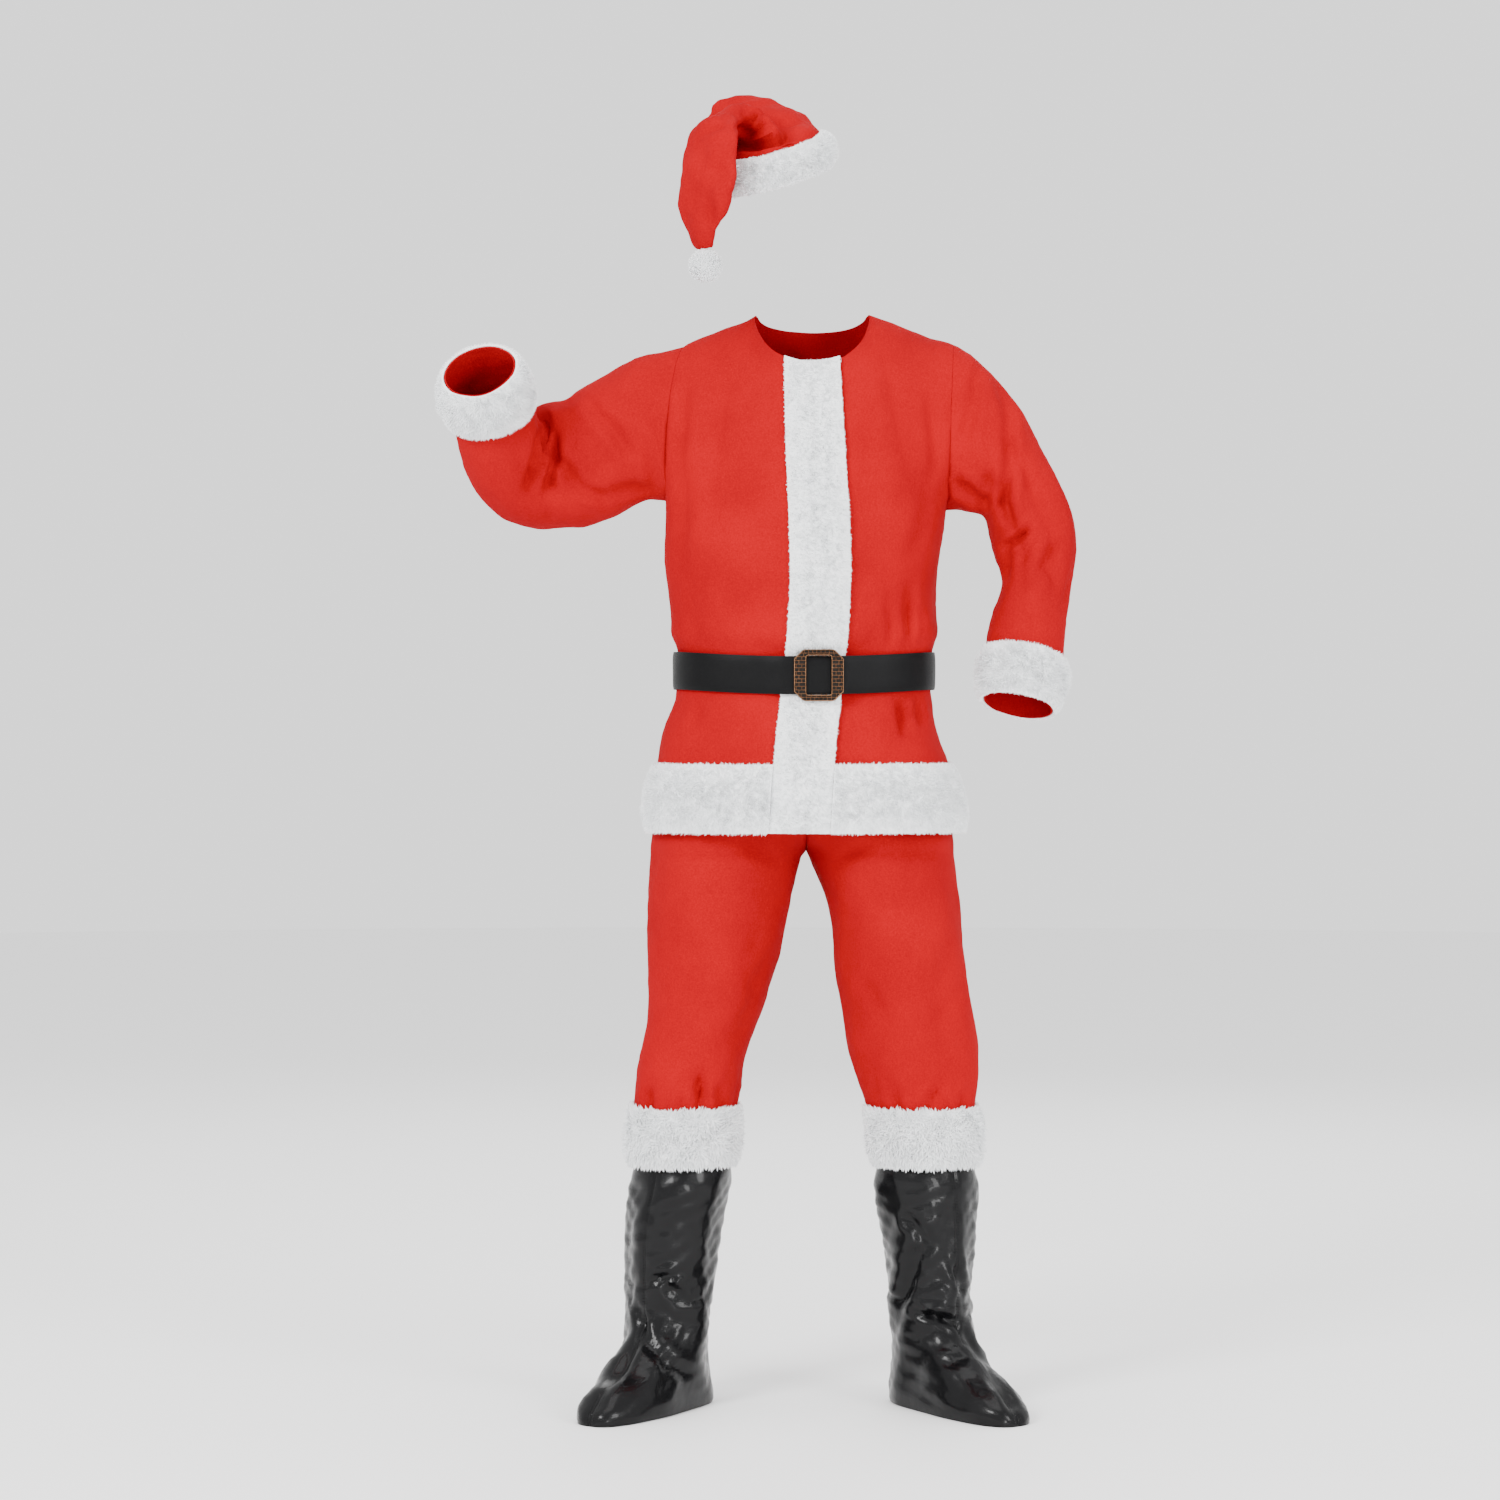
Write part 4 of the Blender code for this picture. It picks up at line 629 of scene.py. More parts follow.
def creased(
    points: Grid, normals: Grid, table: Sequence[Sequence[float]], facing: int = -1, beside: float = 0.45
) -> Grid:
    """Press creases into the front or back of cloth, each along a straight line seen from there.

    Args:
        points: Points of the cloth.
        normals: The outward directions there.
        table: The creases: both ends, width and depth.
        facing: -1 for the front, 1 for the back.
        beside: How high the cloth swells beside a crease, as a share of its depth.

    Returns:
        How far out each point moves.
    """
    rise = np.zeros(len(points))
    seen = points[:, [0, 2]]
    for row in table:
        x0, height0, x1, height1, width, depth = (row[CREASE_COLUMNS.index(name)] for name in CREASE_COLUMNS)
        start, way = np.array([x0, height0]), np.array([x1 - x0, height1 - height0])
        length = float(np.hypot(*way))
        along = (seen - start) @ way / length**2
        across = (seen - start) @ np.array([-way[1], way[0]]) / length
        off = (across + 0.12 * width * np.sin(9 * along)) / width
        fade = smoothstep((along + 0.10) / 0.35) * smoothstep((1.10 - along) / 0.35)
        groove = np.exp(-(off**2)) - beside * np.exp(-(((np.abs(off) - 2.1) / 1.1) ** 2))
        rise = rise - depth * fade * groove
    return rise * smoothstep((facing * normals[:, 1] - 0.05) / 0.35)


class Cloth:
    """Grids of quads that share their points at seams, from which each panel gets its own wall."""

    def __init__(self) -> None:
        self.points: list[Grid] = []
        self.found: dict[tuple[float, ...], int] = {}
        self.faces: dict[str, Faces] = {}

    def point(self, place: Grid) -> int:
        """Number a point, shared with any earlier one at the same place.

        Args:
            place: Where it is.

        Returns:
            Its number.
        """
        key = tuple(np.round(place, 6))
        if key not in self.found:
            self.found[key] = len(self.points)
            self.points.append(np.asarray(place, float))
        return self.found[key]

    def grid(self, panel: str, rows: Grid, outward: int = 1) -> Grid:
        """Add a grid of rows of points to a panel.

        Args:
            panel: The panel's name.
            rows: Its rows of points.
            outward: -1 where its faces would point inwards.

        Returns:
            The numbers of its points, row by row.
        """
        numbers = np.array([[self.point(place) for place in row] for row in rows])
        faces = self.faces.setdefault(panel, [])
        for low, high in zip(numbers.tolist(), numbers[1:].tolist()):
            for k in range(len(low) - 1):
                corners = [low[k], low[k + 1], high[k + 1], high[k]]
                faces.append(corners if outward > 0 else turned(corners))
        return numbers

    def normals(self) -> Grid:
        """Work out the outward direction at each point, from all the faces that meet there.

        Returns:
            One direction for each point.
        """
        points = np.array(self.points)
        quads = np.array([face for faces in self.faces.values() for face in faces])
        a, b, c, d = (points[quads[:, k]] for k in range(4))
        across = np.cross(c - a, d - b)
        total = np.zeros_like(points)
        for k in range(4):
            np.add.at(total, quads[:, k], across)
        return unit(total)

    def relax(self, lift: Callable[[Grid, Grid], Grid]) -> None:
        """Move every point along its own outward direction.

        Args:
            lift: Gives how far out each point moves, from the points and their directions.
        """
        points, normals = np.array(self.points), self.normals()
        moved = points + normals * lift(points, normals)[:, None]
        self.points = list(moved)

    def wall(
        self, panel: str, thickness: float, inset: float = 0.6 * SEAM_GAP, dip: float = 0.0008
    ) -> tuple[Grid, Faces]:
        """Build the closed wall of a panel, clear of its seams.

        Args:
            panel: The panel's name.
            thickness: How thick the wall is, inwards.
            inset: How far its edges stay from the seam's line.
            dip: How far its edges sink at a seam.

        Returns:
            Its vertices and faces.
        """
        points, normals = np.array(self.points), self.normals()
        faces = self.faces[panel]
        edges = {(a, b) for face in faces for a, b in zip(face, face[1:] + face[:1])}
        border = [(a, b) for a, b in edges if (b, a) not in edges]
        border.sort()
        shift: dict[int, list[Grid]] = {}
        for a, b in border:
            inward = unit(np.cross(normals[a] + normals[b], unit(points[b] - points[a])))
            for corner in (a, b):
                shift.setdefault(corner, []).append(inward)
        used = sorted({corner for face in faces for corner in face})
        place = {corner: k for k, corner in enumerate(used)}
        outer = points[used].copy()
        for corner, ways in shift.items():
            mean = np.mean(ways, axis=0)
            outer[place[corner]] += inset * mean / max(float(mean @ mean), 0.25) - dip * normals[corner]
        inner = outer - thickness * normals[used]
        for corner in shift:
            inner[place[corner]] += 0.9 * dip * normals[corner]
        count = len(used)
        solid = [[place[corner] for corner in face] for face in faces]
        solid += [[place[corner] + count for corner in turned(face)] for face in faces]
        solid += [[place[b], place[a], place[a] + count, place[b] + count] for a, b in border]
        return np.concatenate([outer, inner]), solid


def front_folds(folds: Sequence[Sequence[float]], x: Grid, height: Grid) -> Grid:
    """Work out how far the folds of a front panel draw it back.

    Args:
        folds: Rows of a fold table.
        x: Where across the panel.
        height: How high up.

    Returns:
        The depth at each place.
    """
    depth = np.zeros(np.broadcast(x, height).shape)
    for row in folds:
        fold = dict(zip(FRONT_FOLD_COLUMNS, row))
        rise = height - fold["height"]
        across = (x - fold["x"] - fold["lean"] * rise) / fold["half_width"]
        depth = depth + fold["depth"] * np.exp(-(across**2) - (rise / fold["half_height"]) ** 2)
    return depth


def body_section(height: float, half: int) -> Grid:
    """Draw the jacket's section at a height.

    Args:
        height: Where the section is.
        half: 1 for the front, -1 for the back.

    Returns:
        A polyline from the right side to the left.
    """
    middle, width, front, back = (
        by_height(JACKET, JACKET_COLUMNS, name, height) for name in JACKET_COLUMNS[1:]
    )
    depth = -front if half > 0 else back
    angle = np.linspace(math.pi, 0, LINE_POINTS)
    x = middle + width * power(np.cos(angle), 2 / SECTION_POWER)
    y = depth * power(np.sin(angle), 2 / SECTION_POWER)
    if half > 0:
        y = y + front_folds(JACKET_FOLDS, x, height)
    y[[0, -1]] = 0.0
    return np.stack([x, y, np.full(LINE_POINTS, height)], axis=1)


def split_front(line: Grid, x: float) -> dict[str, Grid]:
    """Split a front section where the two fronts overlap.

    Args:
        line: The whole section.
        x: Where the opening edge is.

    Returns:
        The stretch of each side, from the edge of the underlap outwards.
    """
    run = runs(line)
    middle = float(np.interp(x, line[:, 0], run)) - UNDERLAP
    start = at_lengths(line, np.array([middle]))
    k = int(np.searchsorted(run, middle))
    return {"right": np.concatenate([start, line[:k][::-1]]), "left": np.concatenate([start, line[k:]])}


def armhole(side: str, share: float | Grid, half: int) -> Grid:
    """Find points of an armhole.

    Args:
        side: "right" or "left".
        share: From the armpit (0) to the shoulder (1).
        half: 1 for its front half, -1 for its back half.

    Returns:
        The points.
    """
    hole = dict(zip(ARMHOLE_COLUMNS, ARMHOLE[side]))
    x = smooth(share, (0.0, 0.5, 1.0), (hole["armpit_x"], hole["middle_x"], hole["shoulder_x"]))
    low, high = hole["low"], hole["high"]
    z = (low + high) / 2 - (high - low) / 2 * np.cos(math.pi * share)
    y = -half * hole["half_depth"] * np.sin(math.pi * share)
    return np.stack([x + 0 * z, y, z], axis=-1)


def neck(turn: Grid) -> Grid:
    """Find points of the neckline.

    Args:
        turn: From the middle of the front towards the left.

    Returns:
        The points.
    """
    forward = np.cos(turn)
    x = NECK_MIDDLE[0] + NECK_HALF_WIDTH * np.sin(turn)
    y = NECK_MIDDLE[1] - np.where(forward > 0, NECK_FRONT, NECK_BACK) * forward
    drop = NECK_SHOULDER_HEIGHT - np.where(forward > 0, NECK_FRONT_HEIGHT, NECK_BACK_HEIGHT)
    return np.stack([x, y, NECK_SHOULDER_HEIGHT - drop * np.abs(forward)], axis=-1)


def patch(bottom: Grid, top: Grid, inner: Grid, outer: Grid, count: int) -> Grid:
    """Fill a grid between four edges.

    Args:
        bottom: The low edge, from the inner edge to the outer one.
        top: The high edge, the same way.
        inner: The inner edge, upwards.
        outer: The outer edge, upwards.
        count: How many rows.

    Returns:
        The grid.
    """
    share = np.linspace(0, 1, count)[:, None, None]
    across = runs(bottom)
    across = (across / across[-1])[None, :, None]
    ruled = (1 - share) * bottom[None] + share * top[None]
    sides = (1 - across) * inner[:, None] + across * outer[:, None]
    corners = (1 - share) * ((1 - across) * bottom[0] + across * bottom[-1])
    corners = corners + share * ((1 - across) * top[0] + across * top[-1])
    return ruled + sides - corners


def top_row(turns: tuple[float, float], side: str, first: Sequence[float], neck_columns: int) -> Grid:
    """Draw the upper edge of one side of the jacket.

    Args:
        turns: Where it starts and ends on the neckline.
        side: "right" or "left".
        first: Steps from its start that match the rows below.
        neck_columns: How many more columns reach the shoulder seam.

    Returns:
        Its points, along the neckline and out along the shoulder seam.
    """
    curve = neck(np.linspace(turns[0], turns[1], LINE_POINTS))
    steps = np.linspace(first[-1], runs(curve)[-1], neck_columns + 1)[1:]
    along_neck = at_lengths(curve, np.concatenate([first, steps]))
    share = np.linspace(0, 1, SHOULDER_COLUMNS + 1)[1:, None]
    return np.concatenate([along_neck, curve[-1] + share * (armhole(side, 1.0, 1) - curve[-1])])


def upper_part(bottom: Grid, top: Grid, side: str, half: int) -> Grid:
    """Build the grid of one side of the jacket above the armpit.

    Args:
        bottom: The row at the armpit, from the middle outwards.
        top: The neckline and shoulder seam.
        side: "right" or "left".
        half: 1 for the front, -1 for the back.

    Returns:
        The grid, its first row the given one.
    """
    share = np.linspace(0, 1, UPPER_ROWS + 1)
    heights = ARMPIT + share * (top[0][2] - ARMPIT)
    depth = by_height(JACKET, JACKET_COLUMNS, "front" if half > 0 else "back", heights)
    middle = bottom[0][0] + share * (top[0][0] - bottom[0][0])
    inner = np.stack([middle, -half * depth, heights], axis=1)
    from_bottom, from_top = ((1 - share) ** 3)[:, None], (share**3)[:, None]
    inner = inner + from_bottom * (bottom[0] - inner[0]) + from_top * (top[0] - inner[-1])
    return patch(bottom, top, inner, armhole(side, share, half), UPPER_ROWS + 1)


def front_rows() -> dict[str, Grid]:
    """Build the grid of each front, from the hem to the neckline and the shoulder seam.

    Returns:
        The grids by side. The right one runs on over the lap.
    """
    grids = {}
    for side, first in (("right", BAND_STEPS), ("left", LAP_STEPS)):
        rows = []
        for height in BODY_HEIGHTS:
            edge = float(by_height(OPENING, OPENING_COLUMNS, "edge", height))
            line = split_front(body_section(height, 1), edge)[side]
            rest = np.linspace(first[-1], runs(line)[-1], NECK_COLUMNS + SHOULDER_COLUMNS + 1)[1:]
            rows.append(at_lengths(line, np.concatenate([first, rest])))
        sign = -1 if side == "right" else 1
        top = top_row((0.0, sign * math.pi / 2), side, first, NECK_COLUMNS)
        grids[side] = np.concatenate([np.array(rows), upper_part(rows[-1], top, side, 1)[1:]])
    lap = grids["left"][:, len(LAP_STEPS) - 1 : 0 : -1]
    grids["right"] = np.concatenate([lap, grids["right"]], axis=1)
    return grids


def back_rows() -> Grid:
    """Build the grid of the back, from its right side seam to its left one.

    Returns:
        The grid.
    """
    rows = [resampled(body_section(height, -1), 2 * BACK_COLUMNS + 1) for height in BODY_HEIGHTS]
    halves = {}
    for side, sign in (("right", -1), ("left", 1)):
        bottom = rows[-1][BACK_COLUMNS::-1] if side == "right" else rows[-1][BACK_COLUMNS:]
        top = top_row((sign * math.pi, sign * math.pi / 2), side, (0.0,), BACK_NECK_COLUMNS)
        halves[side] = upper_part(bottom, top, side, -1)
    upper = np.concatenate([halves["right"][:, :0:-1], halves["left"]], axis=1)
    return np.concatenate([np.array(rows), upper[1:]])


def tube(centres: Grid, highs: Grid, deeps: Grid, count: int) -> Grid:
    """Draw closed rings of points.

    Args:
        centres: The middle of each ring.
        highs: Its first half axis, at whose low end the ring starts.
        deeps: Its second half axis.
        count: How many points go round.

    Returns:
        The rings, each with its first point again at its end.
    """
    angle = np.linspace(0, math.tau, count + 1)
    angle[-1] = 0.0
    down, aside = -np.cos(angle)[:, None], np.sin(angle)[:, None]
    return np.array([c + down * high + aside * deep for c, high, deep in zip(centres, highs, deeps)])


def raised_rings(count: int) -> tuple[Grid, Grid, Grid]:
    """Lay out the raised sleeve, turned evenly round its elbow.

    Args:
        count: How many rings.

    Returns:
        Their centres and two half axes.
    """
    start = np.array([(-0.19, 0.0, 1.43)])
    centre = np.stack([named(RAISED_SLEEVE, RAISED_COLUMNS, name) for name in "xyz"], axis=1)
    path = np.concatenate([start, centre])
    knots = runs(path)
    at = np.linspace(knots[1], knots[-1], count)

    def place(length: Grid) -> Grid:
        """Find the sleeve's middle line at lengths along it."""
        length = np.clip(length, 0.0, knots[-1])
        return np.stack([smooth(length, knots, path[:, k]) for k in range(3)], axis=-1)

    along = unit(place(at + ELBOW_EASE) - place(at - ELBOW_EASE))
    high = smooth(at, knots[1:], named(RAISED_SLEEVE, RAISED_COLUMNS, "half_high"))
    deep = smooth(at, knots[1:], named(RAISED_SLEEVE, RAISED_COLUMNS, "half_deep"))
    up = np.array([0.0, 0.0, 1.0])
    highs, deeps = [], []
    for direction, half_high, half_deep in zip(along, high, deep):
        up = unit(up - direction * (up @ direction))
        highs.append(half_high * up)
        deeps.append(half_deep * np.cross(up, direction))
    return place(at), np.array(highs), np.array(deeps)


def edged_rings(
    outer: Grid, inner: Grid, half: Grid, count: int, first_deep: Sequence[float]
) -> tuple[Grid, ...]:
    """Lay out a tube between two outlines.

    Args:
        outer: Its outer outline.
        inner: Its inner outline.
        half: Its half depth at each point.
        count: How many rings.
        first_deep: Roughly which way its depth starts.

    Returns:
        The rings' centres and two half axes.
    """
    middle = (outer + inner) / 2
    knots = runs(outer) + runs(middle)
    at = np.linspace(0, knots[-1], count)
    step = knots[-1] / 40

    def place(values: Grid, where: Grid) -> Grid:
        """Read a row of points at places along the tube."""
        where = np.clip(where, 0.0, knots[-1])
        return np.stack([smooth(where, knots, values[:, k]) for k in range(3)], axis=-1)

    highs = (place(outer, at) - place(inner, at)) / 2
    deeps = unit(np.cross(place(middle, at + step) - place(middle, at - step), highs))
    if deeps[0] @ np.asarray(first_deep) < 0:
        deeps = -deeps
    return place(middle, at), highs, deeps * smooth(at, knots, half)[:, None]


def folded(rings: Grid, folds: Sequence[Sequence[float]]) -> Grid:
    """Press soft troughs and ridges into rings.

    Args:
        rings: The rings.
        folds: Rows of a fold table.

    Returns:
        The folded rings.
    """
    centre = rings[:, :-1].mean(axis=1, keepdims=True)
    turn = np.linspace(0, 1, rings.shape[1])[None, :]
    along = np.linspace(0, 1, rings.shape[0])[:, None]
    depth = np.zeros(rings.shape[:2])
    for row in folds:
        fold = dict(zip(FOLD_COLUMNS, row))
        off_along = along - fold["along"]
        off_turn = (turn - fold["turn"] - fold["slant"] * off_along + 0.5) % 1.0 - 0.5
        reach = (off_turn / fold["turn_width"]) ** 2 + (off_along / fold["along_width"]) ** 2
        depth = depth + fold["depth"] * np.exp(-reach)
    return rings + unit(rings - centre) * depth[:, :, None]


def sleeve_rows(side: str) -> Grid:
    """Build the grid of a sleeve, whose first ring is the armhole itself.

    Args:
        side: "right" or "left".

    Returns:
        Its rings.
    """
    share = np.linspace(0, 1, UPPER_ROWS + 1)
    first = np.concatenate([armhole(side, share, 1), armhole(side, share[-2::-1], -1)])
    if side == "right":
        shape = raised_rings(SLEEVE_RINGS)
    else:
        columns = {name: named(BENT_SLEEVE, BENT_COLUMNS, name) for name in BENT_COLUMNS}
        outer = np.stack([columns["outer_x"], columns["middle_y"], columns["outer_z"]], axis=1)
        inner = np.stack([columns["inner_x"], columns["middle_y"], columns["inner_z"]], axis=1)
        shape = edged_rings(outer, inner, columns["half_deep"], SLEEVE_RINGS, (0, -1, 0))
    rings = folded(tube(*shape, 2 * UPPER_ROWS), SLEEVE_FOLDS[side])
    join = first + (rings[0] - first) * np.linspace(0.25, 0.75, 3)[:, None, None]
    return np.concatenate([first[None], join, folded(rings, FINE_SLEEVE_FOLDS[side])])


def leg_row(side: str, height: float, half: int) -> Grid:
    """Draw one leg's section at a height.

    Args:
        side: "right" or "left".
        height: Where the section is.
        half: 1 for the front, -1 for the back.

    Returns:
        A polyline from the side seam to the inseam.
    """
    sign = -1 if side == "right" else 1
    if height <= LEG[side][-1][0]:
        middle, width, deep, middle_y = (
            by_height(LEG[side], LEG_COLUMNS, name, height) for name in LEG_COLUMNS[1:]
        )
        angle = np.linspace(0, math.pi, LINE_POINTS)
        x = middle + sign * width * np.cos(angle)
        y = middle_y - half * deep * np.sin(angle)
        if half > 0:
            y = y + front_folds(LEG_FOLDS, x, height) * np.sin(angle)
        return np.stack([x, y, np.full(LINE_POINTS, height)], axis=1)
    edge = by_height(HIP, HIP_COLUMNS, side + "_x", height)
    deep = by_height(HIP, HIP_COLUMNS, "front" if half > 0 else "back", height)
    end = math.pi * by_height(HIP, HIP_COLUMNS, "turn", height)
    middle_y = 0.004 * smoothstep((0.86 - height) / 0.05)
    angle = np.linspace(0, end, LINE_POINTS)
    x = edge + (CENTRE_X - edge) * (1 - np.cos(angle)) / (1 - math.cos(end))
    y = middle_y - half * deep * np.sin(angle)
    return np.stack([x, y, np.full(LINE_POINTS, height)], axis=1)


def waist_row(height: float, half: int) -> Grid:
    """Draw the front or the back of the waist.

    Args:
        height: How high it lies.
        half: 1 for the front, -1 for the back.

    Returns:
        A polyline from the right to the left.
    """
    right = resampled(leg_row("right", 1.040, half), LEG_COLUMNS_ACROSS + 1)
    left = resampled(leg_row("left", 1.040, half), LEG_COLUMNS_ACROSS + 1)
    row = np.concatenate([right, left[-2::-1]])
    row[:, 2] = height
    return row


def boot_ring(side: str, height: float) -> Grid:
    """Draw a boot cover's outline at a height.

    Args:
        side: "right" or "left".
        height: Where the section is.

    Returns:
        A closed outline from the back, by its outer side first.
    """
    middle, back, fore, half, ease = (
        by_height(BOOT[side], BOOT_COLUMNS, name, height) for name in BOOT_COLUMNS[1:]
    )
    sign = -1 if side == "right" else 1
    turn = TOE_OUT[side]
    ahead = np.array([math.sin(turn), -math.cos(turn)])
    outer = np.array([sign * math.cos(turn), sign * math.sin(turn)])
    angle = np.linspace(0, math.tau, BOOT_RING + 1)
    forward, sideways = -np.cos(angle), np.sin(angle)
    blunt = 1 - BOOT_BLUNT_TOE * ease
    along = np.where(forward > 0, fore, back) * power(forward, blunt)
    across = half * power(sideways, blunt) * (1 + BOOT_BROAD_TOE * ease * forward)
    x = middle + along * ahead[0] + across * outer[0]
    y = BOOT_MIDDLE_Y + along * ahead[1] + across * outer[1]
    ring = np.stack([x, y, np.full(BOOT_RING + 1, height)], axis=1)
    ring[-1] = ring[0]
    return ring


def hat_rings() -> Grid:
    """Build the hat's rings, from its lower edge to its tip.

    Returns:
        The rings, tilted so that the front is lower than the back.
    """
    outer = np.stack([named(HAT, HAT_COLUMNS, "outer_" + axis) for axis in "xyz"], axis=1)
    inner = np.stack([named(HAT, HAT_COLUMNS, "inner_" + axis) for axis in "xyz"], axis=1)
    half = named(HAT, HAT_COLUMNS, "half")
    rings = tube(*edged_rings(outer, inner, half, HAT_RINGS, (0, -1, 0)), HAT_ROUND)
    first, over = HAT_TILT_SHARES
    fade = 1 - smoothstep((np.linspace(0, 1, len(rings)) - first) / over)
    middle = rings[0, :-1].mean(axis=0)
    rings[:, :, 2] += np.tan(HAT_TILT) * (rings[:, :, 1] - middle[1]) * fade[:, None]
    return rings


def belt_line() -> Grid:
    """Draw the belt's inner face at height 0.

    Returns:
        A closed line from the front's middle round the left side.
    """
    angle = np.linspace(0, math.tau, BELT_ROUND + 1) - math.pi / 2
    angle[-1] = angle[0]
    depth = np.where(np.sin(angle) < 0, BELT_FRONT, BELT_BACK)
    x = BELT_MIDDLE_X + BELT_HALF_WIDTH * power(np.cos(angle), 2 / SECTION_POWER)
    y = depth * power(np.sin(angle), 2 / SECTION_POWER)
    middle, flat, fade = BELT_OVER_FUR
    over = 1 - smoothstep((np.abs(x - middle) - flat) / fade)
    y = y - (FRONT_FUR_UNDER_BELT + BELT_CLEARANCE) * over * (y < 0)
    return np.stack([x, y, np.zeros(len(x))], axis=1)


def fur_on(
    rows: Grid, normals: Grid, heights: Grid, outward: int = 1, base: float = LAY_GAP
) -> tuple[Grid, Faces]:
    """Build a closed pad on a grid of cloth.

    Args:
        rows: The cloth's points.
        normals: Its outward directions.
        heights: How high the pad's face stands over its back.
        outward: -1 where the grid's faces would point inwards.
        base: How far its back lies off the cloth.

    Returns:
        Its vertices and faces.
    """
    under = rows + normals * base
    over = under + normals * heights[..., None]
    along, across = rows.shape[:2]
    closed = bool(np.allclose(rows[:, 0], rows[:, -1]))
    columns = across - 1 if closed else across
    vertices = np.concatenate([over[:, :columns].reshape(-1, 3), under[:, :columns].reshape(-1, 3)])
    count = along * columns
    face = np.arange(count).reshape(along, columns)
    face = np.concatenate([face, face[:, :1]], axis=1) if closed else face
    corners = [face[:-1, :-1], face[:-1, 1:], face[1:, 1:], face[1:, :-1]]
    quads = np.stack(corners, axis=-1).reshape(-1, 4)
    sides = [(face[0, 1:], face[0, :-1]), (face[-1, :-1], face[-1, 1:])]
    if not closed:
        sides += [(face[:-1, 0], face[1:, 0]), (face[1:, -1], face[:-1, -1])]
    edges = [np.stack([a, b, b + count, a + count], axis=-1) for a, b in sides]
    found = np.concatenate([quads, quads[:, [0, 3, 2, 1]] + count, *edges])
    if outward < 0:
        found = found[:, [0, 3, 2, 1]]
    return vertices, found.tolist()


def rounded(share: Grid, full: Grid | float, edge: float = 0.3) -> Grid:
    """Round a pad's section."""
    return full * (edge + (1 - edge) * (1 - np.abs(2 * np.asarray(share) - 1) ** 2.6))


def grid_normals(rows: Grid, outward: int = 1) -> Grid:
    """Work out the outward directions of a grid that stands by itself.

    Args:
        rows: The grid.
        outward: -1 where its faces would point inwards.

    Returns:
        One direction for each point.
    """
    shape = Cloth()
    numbers = shape.grid("grid", rows, outward)
    return shape.normals()[numbers]


